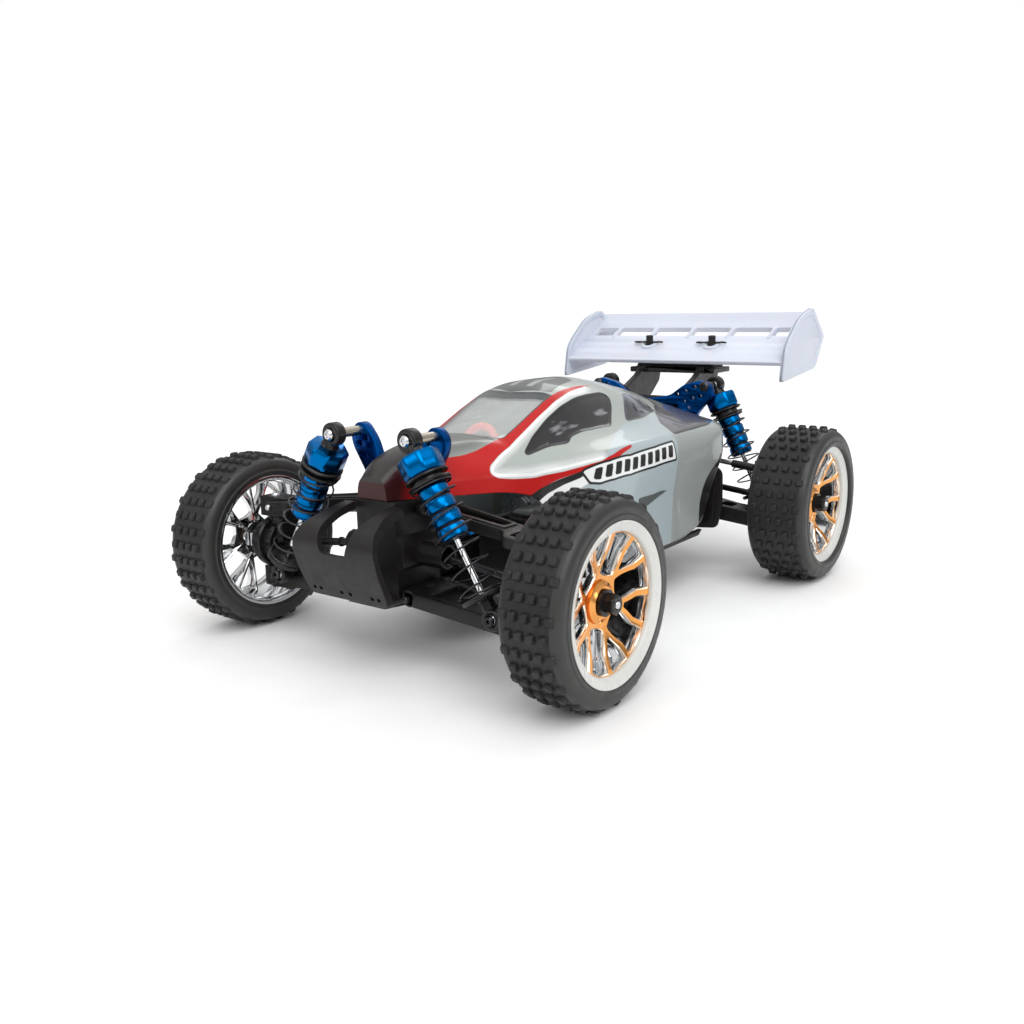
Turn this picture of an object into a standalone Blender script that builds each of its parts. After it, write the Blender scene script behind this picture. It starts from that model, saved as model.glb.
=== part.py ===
"""Electric 1:16 four-wheel-drive off-road buggy, modelled as separate working parts.

Frame: +Z up, -Y is the car's front, +X its left side. The origin is on the ground, midway between the
axles on the centre plane. Lengths are metres. Every moving part has its origin on its joint's axis.
"""

import math

import bmesh
import bpy
from mathutils import Matrix, Vector

# Driving dimensions -------------------------------------------------------------------------------------
WHEELBASE = 0.174
TRACK = 0.155
TYRE_RADIUS = 0.0335
TYRE_HALF_WIDTH = {"front": 0.0112, "rear": 0.0130}
RIM_RADIUS = 0.0246
RIM_HALF_WIDTH = 0.0108
RIM_LIP_RADIUS = 0.0255
SPOKES = 12

CLEAR = 0.0003          # least gap between neighbouring parts
SHELL_THICKNESS = 0.0012
CHASSIS_BOTTOM = 0.0190
CHASSIS_TOP = 0.0215

# Suspension, as (x, z) in the plane of an axle, for the left side at full droop
ARM_DROOP = 0.0055                                    # how far an arm's outer pin hangs below its inner pin
INNER_PIN_X = 0.0130
ARM_REACH = {"front": 0.0460, "rear": 0.0470}
LOWER_PIN_Z = {"front": 0.0255, "rear": 0.0295}
UPPER_PIN_Z = {"front": 0.0540, "rear": 0.0530}
CUP_X = {"front": 0.0640, "rear": 0.0650}             # drive cup centre; the front kingpin stands on it
PIN_HALF_GAP = 0.0044                                 # hub lug half width plus its side play
SHOCK_TOP = {"front": (0.0175, 0.0792), "rear": (0.0285, 0.0820)}
SHOCK_FOOT = {"front": (0.0501, 0.0253), "rear": (0.0545, 0.0255)}
SHOCK_OUTBOARD = {"front": 0.0110, "rear": 0.0130}    # from the axle, away from the car's middle
EYE_HALF = 0.0022
STEER_ARM = 0.0150
TIE_ROD_Z = 0.0432
LINK_Z = (0.0435, 0.0459)

# Drive train
SHAFT_Z = 0.0390
GEAR_MODULE = 0.00075
SPUR_TEETH = 40
PINION_TEETH = 10
GEAR_Y = 0.0460
GEAR_WIDTH = 0.0050

AXLE_Z = TYRE_RADIUS
CAR_SHIFT_Y = -0.01705          # brings the middle of the overall length onto the origin
AXLE_Y = {"front": -WHEELBASE / 2, "rear": WHEELBASE / 2}
OUTBOARD = {"front": -1.0, "rear": 1.0}               # sign of Y away from the car's middle
SIDES = {"left": 1.0, "right": -1.0}


# Scene and materials ------------------------------------------------------------------------------------
def clear_scene():
    for obj in list(bpy.data.objects):
        bpy.data.objects.remove(obj, do_unlink=True)


def new_collection(name):
    group = bpy.data.collections.new(name)
    bpy.context.scene.collection.children.link(group)
    return group


def finish(name, colour, roughness, metallic=0.0):
    """A plain Principled material."""
    mat = bpy.data.materials.new(name)
    mat.use_nodes = True
    shader = mat.node_tree.nodes["Principled BSDF"]
    shader.inputs["Base Color"].default_value = (*colour, 1.0)
    shader.inputs["Roughness"].default_value = roughness
    shader.inputs["Metallic"].default_value = metallic
    return mat


clear_scene()
PARTS = new_collection("rc_buggy")
TOOLS = new_collection("cutters")

BLACK_PLASTIC = finish("black_plastic", (0.02, 0.02, 0.022), 0.5)
TYRE_RUBBER = finish("tyre_rubber", (0.025, 0.024, 0.024), 0.85)
RIM_CHROME = finish("rim_chrome", (0.75, 0.72, 0.68), 0.15, 1.0)
BLUE_ALUMINIUM = finish("blue_aluminium", (0.01, 0.16, 0.50), 0.3, 1.0)
STEEL = finish("steel", (0.55, 0.56, 0.58), 0.3, 1.0)
SPRING_STEEL = finish("spring_steel", (0.06, 0.06, 0.07), 0.35, 0.8)
SHELL_PAINT = finish("shell_paint", (0.45, 0.50, 0.52), 0.25)
WHITE_NYLON = finish("white_nylon", (0.80, 0.80, 0.88), 0.4)
BATTERY_WRAP = finish("battery_wrap", (0.05, 0.20, 0.10), 0.45)
GEAR_PLASTIC = finish("gear_plastic", (0.03, 0.03, 0.03), 0.6)


# Shape helpers ------------------------------------------------------------------------------------------
def add_object(name, data, material):
    obj = bpy.data.objects.new(name, data)
    PARTS.objects.link(obj)
    if material is not None:
        data.materials.append(material)
    return obj


def bevelled(obj, width, segments=1):
    mod = obj.modifiers.new("edges", "BEVEL")
    mod.width = width
    mod.segments = segments
    mod.limit_method = "ANGLE"
    return obj


def block(name, low, high, material=None):
    """An axis-aligned block between two corners."""
    low, high = Vector(low), Vector(high)
    mesh = bpy.data.meshes.new(name)
    bm = bmesh.new()
    bmesh.ops.create_cube(bm, size=1.0)
    bmesh.ops.scale(bm, vec=high - low, verts=bm.verts)
    bm.to_mesh(mesh)
    bm.free()
    obj = add_object(name, mesh, material)
    obj.location = (low + high) / 2
    return obj


def rod(name, start, end, radius, material=None, segments=12):
    """A round bar from start to end."""
    start, end = Vector(start), Vector(end)
    mesh = bpy.data.meshes.new(name)
    bm = bmesh.new()
    bmesh.ops.create_cone(
        bm, cap_ends=True, segments=segments, radius1=radius, radius2=radius, depth=(end - start).length
    )
    bm.to_mesh(mesh)
    bm.free()
    obj = add_object(name, mesh, material)
    point_along(obj, (start + end) / 2, end - start)
    return obj


def point_along(obj, origin, direction):
    """Puts the object's origin at a point, with its local Z along a direction."""
    turn = Vector(direction).to_track_quat("Z", "Y").to_matrix().to_4x4()
    obj.matrix_world = Matrix.Translation(origin) @ turn


def turned(name, profile, material=None, steps=24, ring=False):
    """A shape turned about local Z. The (radius, height) profile runs down its outer side."""
    mesh = bpy.data.meshes.new(name)
    edges = [(i, i + 1) for i in range(len(profile) - 1)]
    if ring:
        edges.append((len(profile) - 1, 0))
    mesh.from_pydata([(r, 0.0, z) for r, z in profile], edges, [])
    obj = add_object(name, mesh, material)
    screw = obj.modifiers.new("turn", "SCREW")
    screw.steps = steps
    screw.render_steps = steps
    screw.use_merge_vertices = True
    screw.merge_threshold = 0.00001
    return obj


def plate(name, loops, thickness, material=None):
    """A flat plate in local XY from an outline and its holes, as a mesh centred on local Z = 0."""
    curve = bpy.data.curves.new(name, "CURVE")
    curve.dimensions = "2D"
    curve.fill_mode = "BOTH"
    curve.extrude = thickness / 2
    for loop in loops:
        spline = curve.splines.new("POLY")
        spline.points.add(len(loop) - 1)
        for point, (x, y) in zip(spline.points, loop):
            point.co = (x, y, 0.0, 1.0)
        spline.use_cyclic_u = True
    source = add_object(name + "_outline", curve, None)
    bpy.context.view_layer.update()
    mesh = bpy.data.meshes.new_from_object(source.evaluated_get(bpy.context.evaluated_depsgraph_get()))
    bpy.data.objects.remove(source, do_unlink=True)
    bm = bmesh.new()
    bm.from_mesh(mesh)
    bmesh.ops.remove_doubles(bm, verts=bm.verts, dist=0.00001)
    bmesh.ops.recalc_face_normals(bm, faces=bm.faces)
    bm.to_mesh(mesh)
    bm.free()
    mesh.name = name
    return add_object(name, mesh, material)


def stand_across(obj, origin):
    """Stands a plate up in the car's cross plane: local X is +X and local Y is +Z."""
    obj.matrix_world = Matrix.Translation(origin) @ Matrix.Rotation(math.pi / 2, 4, "X")


def stand_along(obj, origin):
    """Stands a plate up along the car: local X is +Y and local Y is +Z."""
    turn = Matrix(((0, 0, 1, 0), (1, 0, 0, 0), (0, 1, 0, 0), (0, 0, 0, 1)))
    obj.matrix_world = Matrix.Translation(origin) @ turn


def boolean(obj, tools, operation):
    """Applies tools to an object in order; the tools are kept aside as wire guides."""
    for tool in tools:
        PARTS.objects.unlink(tool)
        TOOLS.objects.link(tool)
        tool.hide_render = True
        tool.display_type = "WIRE"
        mod = obj.modifiers.new(operation.lower(), "BOOLEAN")
        mod.operation = operation
        mod.object = tool
    return obj


def join(obj, *tools):
    return boolean(obj, tools, "UNION")


def cut(obj, *tools):
    return boolean(obj, tools, "DIFFERENCE")


def both_sides(half):
    """Closes a half outline, listed from the centre line, with its mirror image in x."""
    return list(half) + [(-x, y) for x, y in reversed(half) if x > 0.0]


def mirror_x(points, side):
    return [(side * x, y) for x, y in points]


def arc(centre, radius, start, end, count):
    """Points on an arc between two angles in degrees."""
    angles = [math.radians(start + (end - start) * i / (count - 1)) for i in range(count)]
    return [(centre[0] + radius * math.cos(a), centre[1] + radius * math.sin(a)) for a in angles]


# Wheels -------------------------------------------------------------------------------------------------
def wheel_matrix(end, side):
    """Wheel frame: local Z is the axle's outward direction, with its origin at the wheel's centre."""
    origin = Vector((side * TRACK / 2, AXLE_Y[end], AXLE_Z))
    return Matrix.Translation(origin) @ Matrix.Rotation(side * math.pi / 2, 4, "Y")


def make_tyre(name, end, side):
    half = TYRE_HALF_WIDTH[end]
    bead = RIM_RADIUS + CLEAR
    shoulder = TYRE_RADIUS - 0.0027
    outer = [
        (bead, RIM_HALF_WIDTH - 0.0006),
        (bead + 0.0036, half - 0.0008),
        (shoulder, half),
        (TYRE_RADIUS, half - 0.0024),
    ]
    profile = outer + [(r, -z) for r, z in reversed(outer)]
    obj = turned(name, profile, TYRE_RUBBER, steps=24, ring=True)
    obj.matrix_world = wheel_matrix(end, side)
    return obj


def make_rim(name, end, side):
    """Barrel, hub and dished web in one turned section, with windows cut between the spokes."""
    barrel = RIM_RADIUS - 0.0020
    hub = 0.0065
    bore = 0.0023
    profile = [
        (0.0218, 0.0115),
        (RIM_LIP_RADIUS, 0.0115),
        (RIM_LIP_RADIUS, 0.0109),
        (RIM_RADIUS, 0.0106),
        (RIM_RADIUS, -RIM_HALF_WIDTH),
        (barrel, -RIM_HALF_WIDTH),
        (barrel, 0.0060),
        (hub, 0.0028),
        (hub, -0.0015),
        (bore, -0.0015),
        (bore, 0.0056),
        (hub, 0.0056),
        (0.0214, 0.0090),
    ]
    obj = turned(name, profile, RIM_CHROME, steps=24, ring=True)
    windows = []
    for i in range(SPOKES):
        middle = 360.0 * (i + 0.5) / SPOKES
        inner, outer = 0.0092, 0.0206
        windows.append([
            *arc((0, 0), outer, middle - 9.5, middle + 9.5, 2),
            *arc((0, 0), inner, middle + 5.0, middle - 5.0, 2),
        ])
    cutter = plate(name + "_windows", windows, 0.03)
    cut(obj, cutter)
    obj.matrix_world = wheel_matrix(end, side)
    cutter.matrix_world = wheel_matrix(end, side)
    return obj


def make_axle(name, end, side):
    """Wheel axle with its drive cup, hexagon seat and wheel nut; heights are from the wheel's centre."""
    cup = CUP_X[end] - TRACK / 2
    profile = [
        (0.0, 0.0107),
        (0.0038, 0.0107),
        (0.0038, 0.0060),
        (0.0020, 0.0060),
        (0.0020, -0.0018),
        (0.0052, -0.0018),
        (0.0052, -0.0045),
        (0.0020, -0.0045),
        (0.0020, cup + 0.0050),
        (0.0055, cup + 0.0050),
        (0.0055, cup - 0.0030),
        (0.0045, cup - 0.0030),
        (0.0045, cup + 0.0040),
        (0.0, cup + 0.0040),
    ]
    obj = turned(name, profile, STEEL, steps=12)
    obj.matrix_world = wheel_matrix(end, side)
    return obj


def make_drive_shaft(name, end, side):
    """Dog-bone shaft: a ball at each end of a thin bar, turned in one piece."""
    outer = Vector((side * CUP_X[end], AXLE_Y[end], AXLE_Z))
    inner = outer - Vector((side * ARM_REACH[end], 0.0, -ARM_DROOP))
    length = (outer - inner).length
    ball, bar = 0.0022, 0.0014
    neck = math.degrees(math.asin(bar / ball))
    top = arc((0, length), ball, 90, -90 + neck, 5)
    bottom = arc((0, 0), ball, 90 - neck, -90, 5)
    profile = [(max(r, 0.0), z) for r, z in top + bottom]
    profile[0] = (0.0, length + ball)
    profile[-1] = (0.0, -ball)
    obj = turned(name, profile, STEEL, steps=10)
    point_along(obj, inner, outer - inner)
    return obj


# Suspension ---------------------------------------------------------------------------------------------
def arm_matrix(end, side, pin_z):
    """Arm frame: local X runs along the arm from its inner pin, local Y is away from the car's middle."""
    along = Vector((side * ARM_REACH[end], 0.0, -ARM_DROOP)).normalized()
    outboard = Vector((0.0, OUTBOARD[end], 0.0))
    normal = along.cross(outboard)
    origin = Vector((side * INNER_PIN_X, AXLE_Y[end], pin_z))
    turn = Matrix((along, outboard, normal)).transposed().to_4x4()
    return Matrix.Translation(origin) @ turn


def fork_outline(reach, inner, waist, side_gap=PIN_HALF_GAP):
    """Outline of an A-arm from its inner edge points, ending in a fork round the hub lug."""
    finger = side_gap + 0.0030
    tip = reach + 0.0030
    root = reach - 0.0077
    low, high = inner
    low_waist, high_waist = waist
    return [
        (-0.0030, low),
        (0.0030, low),
        (reach - 0.0080, low_waist),
        (tip, -finger),
        (tip, -side_gap),
        (root, -side_gap),
        (root, side_gap),
        (tip, side_gap),
        (tip, finger),
        (reach - 0.0080, finger),
        (reach - 0.0120, high_waist),
        (0.0030, high),
        (-0.0030, high),
    ]


def make_lower_arm(name, end, side):
    reach = math.hypot(ARM_REACH[end], ARM_DROOP)
    outline = fork_outline(reach, (-0.0105, 0.0105), (-0.0076, {"front": 0.0076, "rear": 0.0046}[end]))
    window = [(0.0075, -0.0065), (0.0075, 0.0065), (0.0310, 0.0040), (0.0310, -0.0040)]
    thickness = {"front": 0.0050, "rear": 0.0064}[end]
    obj = plate(name, [outline, window], thickness, BLACK_PLASTIC)
    obj.matrix_world = arm_matrix(end, side, LOWER_PIN_Z[end])
    foot_x, foot_z = SHOCK_FOOT[end]
    start = AXLE_Y[end] + OUTBOARD[end] * 0.0052
    stop = AXLE_Y[end] + OUTBOARD[end] * (SHOCK_OUTBOARD[end] - EYE_HALF - CLEAR)
    boss = rod(name + "_boss", (side * foot_x, start, foot_z), (side * foot_x, stop, foot_z), 0.0027)
    return join(obj, boss)


def make_front_upper_arm(name, side):
    reach = math.hypot(ARM_REACH["front"], ARM_DROOP)
    outline = fork_outline(reach, (-0.0105, 0.0018), (-0.0076, 0.0018))
    window = [(0.0060, -0.0075), (0.0060, -0.0012), (0.0320, -0.0012), (0.0320, -0.0055)]
    obj = plate(name, [outline, window], 0.0038, BLACK_PLASTIC)
    obj.matrix_world = arm_matrix("front", side, UPPER_PIN_Z["front"])
    return obj


def make_rear_upper_link(name, side):
    """Camber link: a bar with a ring end at each pivot, beside the hub carrier's lug."""
    y = AXLE_Y["rear"] - 0.0066
    inner = Vector((side * INNER_PIN_X, y, UPPER_PIN_Z["rear"]))
    outer = inner + Vector((side * ARM_REACH["rear"], 0.0, -ARM_DROOP))
    ends = Vector((0.0, 0.0018, 0.0))
    obj = rod(name, inner, outer, 0.0016, BLACK_PLASTIC, segments=10)
    inner_ring = rod(name + "_inner_ring", inner - ends, inner + ends, 0.0030)
    outer_ring = rod(name + "_outer_ring", outer - ends, outer + ends, 0.0030)
    return join(obj, inner_ring, outer_ring)


def make_steering_hub(name, side):
    """C-shaped hub that carries the knuckle between two bars."""
    y = AXLE_Y["front"]
    inner, outer = 0.0536, 0.0685

    def span(low, high, half, z_low, z_high, label):
        xs = sorted((side * low, side * high))
        return block(name + label, (xs[0], y - half, z_low), (xs[1], y + half, z_high), BLACK_PLASTIC)

    obj = span(inner, outer, 0.0040, 0.0165, 0.0240, "")
    web = span(inner, 0.0568, 0.0065, 0.0236, 0.0446, "_web")
    top = span(inner, outer, 0.0040, 0.0440, 0.0515, "_top")
    hole = rod(name + "_hole", (side * 0.050, y, AXLE_Z), (side * 0.060, y, AXLE_Z), 0.0044)
    join(obj, web, top)
    return cut(obj, hole)


def hub_ring(name, end, side, start):
    """The bearing housing round the drive cup; start is the distance of its inner face from the centre."""
    seat = CUP_X[end] - TRACK / 2 + 0.0056
    profile = [
        (0.0027, -0.0050),
        (0.0055, -0.0050),
        (0.0055, seat + 0.0011),
        (0.0080, seat + 0.0011),
        (0.0080, start - TRACK / 2),
        (0.0060, start - TRACK / 2),
        (0.0060, seat),
        (0.0027, seat),
    ]
    obj = turned(name, profile, BLACK_PLASTIC, steps=16, ring=True)
    obj.matrix_world = wheel_matrix(end, side)
    return obj


def make_knuckle(name, side):
    """Steering knuckle: bearing ring, kingpin bosses and a steering arm that points to the rear."""
    x, y = side * CUP_X["front"], AXLE_Y["front"]
    obj = hub_ring(name, "front", side, CUP_X["front"] - 0.0040)
    lower = rod(name + "_lower_pin", (x, y, 0.0244), (x, y, 0.0268), 0.0032)
    upper = rod(name + "_upper_pin", (x, y, 0.0402), (x, y, 0.0436), 0.0032)
    arm = block(name + "_arm", (x - 0.0021, y + 0.0054, 0.0375), (x + 0.0021, y + STEER_ARM + 0.0026, 0.0404))
    return join(obj, lower, upper, arm)


def make_hub_carrier(name, side):
    """Rear hub carrier: bearing ring with a lower lug and an upper lug."""
    y = AXLE_Y["rear"]
    obj = hub_ring(name, "rear", side, 0.0642)
    xs = sorted((side * 0.0565, side * 0.0680))
    low = block(name + "_lower_lug", (xs[0], y - 0.0040, 0.0215), (xs[1], y + 0.0040, 0.0272))
    high = block(name + "_upper_lug", (xs[0], y - 0.0040, 0.0401), (xs[1], y + 0.0040, 0.0505))
    return join(obj, low, high)


# Shock absorbers ----------------------------------------------------------------------------------------
def shock_points(end, side):
    y = AXLE_Y[end] + OUTBOARD[end] * SHOCK_OUTBOARD[end]
    top = Vector((side * SHOCK_TOP[end][0], y, SHOCK_TOP[end][1]))
    foot = Vector((side * SHOCK_FOOT[end][0], y, SHOCK_FOOT[end][1]))
    return top, foot


def eye(name, centre, radius):
    reach = Vector((0.0, EYE_HALF, 0.0))
    return rod(name, centre - reach, centre + reach, radius)


def make_shock_body(name, end, side):
    """Cap, spring collar and bored cylinder below a mounting eye; heights are down from the eye."""
    top, foot = shock_points(end, side)
    profile = [
        (0.0, -0.0028),
        (0.0030, -0.0028),
        (0.0030, -0.0054),
        (0.0073, -0.0054),
        (0.0073, -0.0125),
        (0.0085, -0.0130),
        (0.0085, -0.0160),
        (0.0050, -0.0160),
        (0.0050, -0.0350),
        (0.0019, -0.0350),
        (0.0019, -0.0135),
        (0.0, -0.0135),
    ]
    obj = turned(name, profile, BLUE_ALUMINIUM, steps=12)
    point_along(obj, top, top - foot)
    return join(obj, eye(name + "_eye", top, 0.0042))


def make_shock_rod(name, end, side):
    """Piston rod with its spring cup and lower eye; heights are up from the lower eye."""
    top, foot = shock_points(end, side)
    length = (top - foot).length
    profile = [
        (0.0, length - 0.0240),
        (0.0012, length - 0.0240),
        (0.0012, 0.0085),
        (0.0080, 0.0085),
        (0.0080, 0.0070),
        (0.0024, 0.0066),
        (0.0024, 0.0025),
        (0.0, 0.0025),
    ]
    obj = turned(name, profile, STEEL, steps=12)
    point_along(obj, foot, top - foot)
    return join(obj, eye(name + "_eye", foot, 0.0038))


def make_spring(name, end, side):
    """Coil spring between the collar and the spring cup."""
    top, foot = shock_points(end, side)
    length = (top - foot).length
    wire, radius, coils, per_coil = 0.0005, 0.0075, 7, 6
    low = 0.0085 + wire + CLEAR
    high = length - 0.0160 - wire - CLEAR
    curve = bpy.data.curves.new(name, "CURVE")
    curve.dimensions = "3D"
    curve.bevel_depth = wire
    curve.bevel_resolution = 0
    curve.use_fill_caps = True
    count = coils * per_coil + 1
    spline = curve.splines.new("POLY")
    spline.points.add(count - 1)
    for i, point in enumerate(spline.points):
        angle = 2 * math.pi * i / per_coil
        height = low + (high - low) * i / (count - 1)
        point.co = (radius * math.cos(angle), radius * math.sin(angle), height, 1.0)
    obj = add_object(name, curve, SPRING_STEEL)
    point_along(obj, foot, top - foot)
    return obj


# Frame --------------------------------------------------------------------------------------------------
def make_chassis():
    """Flat chassis plate with upturned side guards and a kicked-up front."""
    half = [
        (0.0090, -0.0740),
        (0.0180, -0.0660),
        (0.0240, -0.0540),
        (0.0350, -0.0380),
        (0.0400, -0.0240),
        (0.0400, 0.0400),
        (0.0340, 0.0560),
        (0.0180, 0.0680),
        (0.0090, 0.0740),
        (0.0090, 0.0985),
    ]
    thickness = CHASSIS_TOP - CHASSIS_BOTTOM
    obj = plate("chassis_plate", [both_sides(half)], thickness, BLACK_PLASTIC)
    obj.location = (0.0, 0.0, (CHASSIS_TOP + CHASSIS_BOTTOM) / 2)
    ramp_side = [(-0.0720, 0.0194), (-0.0720, 0.0211), (-0.1040, 0.0250), (-0.1040, 0.0228)]
    ramp = plate("chassis_ramp", [ramp_side], 0.0170)
    stand_along(ramp, (0.0, 0.0, 0.0))
    guards = []
    for label, side in SIDES.items():
        section = [(0.0385, 0.0195), (0.0437, 0.0206), (0.0452, 0.0233), (0.0436, 0.0236), (0.0385, 0.0210)]
        guard = plate("chassis_guard_" + label, [mirror_x(section, side)], 0.0900)
        stand_across(guard, (0.0, 0.0100, 0.0))
        guards.append(guard)
    return join(obj, ramp, *guards)


def make_bumper():
    """Front bumper: a bent plate from the side, trimmed to its front outline."""
    bent = [
        (-0.0984, 0.0570),
        (-0.1160, 0.0530),
        (-0.1188, 0.0475),
        (-0.1100, 0.0262),
        (-0.1046, 0.0262),
        (-0.1046, 0.0290),
        (-0.1078, 0.0290),
        (-0.1155, 0.0472),
        (-0.1138, 0.0502),
        (-0.0984, 0.0538),
    ]
    obj = plate("front_bumper", [bent], 0.0400, BLACK_PLASTIC)
    stand_along(obj, (0.0, 0.0, 0.0))
    half = [
        (0.0150, 0.0250),
        (0.0186, 0.0275),
        (0.0190, 0.0440),
        (0.0165, 0.0520),
        (0.0110, 0.0580),
    ]
    front = plate("bumper_front", [both_sides(half)], 0.0400)
    stand_across(front, (0.0, -0.1100, 0.0))
    notch = block("bumper_notch", (-0.0062, -0.1240, 0.0430), (0.0062, -0.1075, 0.0600))
    boolean(obj, [front], "INTERSECT")
    return cut(obj, notch)


def make_gearbox(end, bottom):
    """Gearbox with a drive output on each side, bored for the inner drive shaft balls."""
    half = [
        (0.0090, bottom),
        (0.0090, 0.0340),
        (0.0120, 0.0360),
        (0.0120, 0.0430),
        (0.0090, 0.0460),
        (0.0090, 0.0580),
    ]
    name = end + "_gearbox"
    y = AXLE_Y[end]
    obj = plate(name, [both_sides(half)], 0.0215, BLACK_PLASTIC)
    stand_across(obj, (0.0, y, 0.0))
    outputs = rod(name + "_outputs", (-0.0225, y, SHAFT_Z), (0.0225, y, SHAFT_Z), 0.0043)
    join(obj, outputs)
    for label, side in SIDES.items():
        bore = rod(name + "_bore_" + label, (side * 0.0110, y, SHAFT_Z), (side * 0.0240, y, SHAFT_Z), 0.0033)
        cut(obj, bore)
    return obj


def make_tower(name, half, end, face_y, thickness):
    """Shock tower plate with a stand-off for each upper shock eye."""
    obj = plate(name, [both_sides(half)], thickness, BLUE_ALUMINIUM)
    middle = face_y - OUTBOARD[end] * thickness / 2
    stand_across(obj, (0.0, middle, 0.0))
    x, z = SHOCK_TOP[end]
    stop = AXLE_Y[end] + OUTBOARD[end] * (SHOCK_OUTBOARD[end] - EYE_HALF - CLEAR)
    for label, side in SIDES.items():
        post = rod(name + "_post_" + label, (side * x, middle, z), (side * x, stop, z), 0.0018, segments=10)
        join(obj, post)
    return obj


def make_front_tower():
    half = [
        (0.0100, 0.0585),
        (0.0140, 0.0620),
        (0.0215, 0.0740),
        (0.0220, 0.0785),
        (0.0190, 0.0820),
        (0.0155, 0.0820),
        (0.0110, 0.0765),
        (0.0075, 0.0670),
        (0.0050, 0.0635),
    ]
    return make_tower("front_shock_tower", half, "front", -0.0860, 0.0035)


def make_rear_tower():
    half = [
        (0.0110, 0.0585),
        (0.0225, 0.0640),
        (0.0245, 0.0685),
        (0.0280, 0.0730),
        (0.0328, 0.0780),
        (0.0315, 0.0830),
        (0.0270, 0.0850),
        (0.0180, 0.0826),
        (0.0110, 0.0775),
        (0.0, 0.0755),
    ]
    return make_tower("rear_shock_tower", half, "rear", 0.0920, 0.0035)


# Wing ---------------------------------------------------------------------------------------------------
WING_HALF_SPAN = 0.0595
WING_POST = (0.0172, 0.1190)


def make_wing_mount():
    """Two side plates, a cross bar and a top plate with two posts for the wing."""
    arm = [
        (0.0924, 0.0680),
        (0.0924, 0.0805),
        (0.1030, 0.0852),
        (0.1080, 0.0885),
        (0.1275, 0.0885),
        (0.1250, 0.0810),
        (0.1170, 0.0745),
        (0.1000, 0.0690),
    ]
    obj = block("wing_mount", (-0.0230, 0.1095, 0.0862), (0.0230, 0.1275, 0.0888), BLACK_PLASTIC)
    tools = [block("wing_mount_bar", (-0.0160, 0.0924, 0.0700), (0.0160, 0.0950, 0.0765))]
    for label, side in SIDES.items():
        plate_side = plate("wing_mount_arm_" + label, [arm], 0.0030)
        stand_along(plate_side, (side * 0.0160, 0.0, 0.0))
        x, y = side * WING_POST[0], WING_POST[1]
        tools += [plate_side, rod("wing_mount_post_" + label, (x, y, 0.0880), (x, y, 0.1040), 0.0018)]
    return join(obj, *tools)


def make_wing():
    """Curved main plane with a row of slots and an upright plate at each end."""
    upper = [
        (0.1055, 0.0925),
        (0.1130, 0.0964),
        (0.1210, 0.1002),
        (0.1310, 0.1050),
        (0.1385, 0.1098),
        (0.1435, 0.1145),
    ]
    lower = [(y + 0.0007, z - 0.0018) for y, z in reversed(upper)]
    obj = plate("rear_wing", [upper + lower], 2 * WING_HALF_SPAN - 0.0020, WHITE_NYLON)
    stand_along(obj, (0.0, 0.0, 0.0))
    outline = [
        (0.1040, 0.0835),
        (0.1066, 0.0981),
        (0.1103, 0.1024),
        (0.1233, 0.1126),
        (0.1386, 0.1165),
        (0.1546, 0.1025),
        (0.1443, 0.0876),
    ]
    for label, side in SIDES.items():
        end_plate = plate("wing_end_" + label, [outline], 0.0016)
        stand_along(end_plate, (side * (WING_HALF_SPAN - 0.0008), 0.0, 0.0))
        join(obj, end_plate)
    rib, pitch = 0.0022, 0.0215
    for i in range(-3, 3):
        low = i * pitch + rib / 2
        high = (i + 1) * pitch - rib / 2
        low, high = max(low, -0.0560), min(high, 0.0560)
        cut(obj, block(f"wing_slot_{i + 4}", (low, 0.1275, 0.0950), (high, 0.1345, 0.1150)))
    for label, side in SIDES.items():
        x, y = side * WING_POST[0], WING_POST[1]
        cut(obj, rod("wing_hole_" + label, (x, y, 0.0900), (x, y, 0.1080), 0.0023))
    return obj


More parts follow.
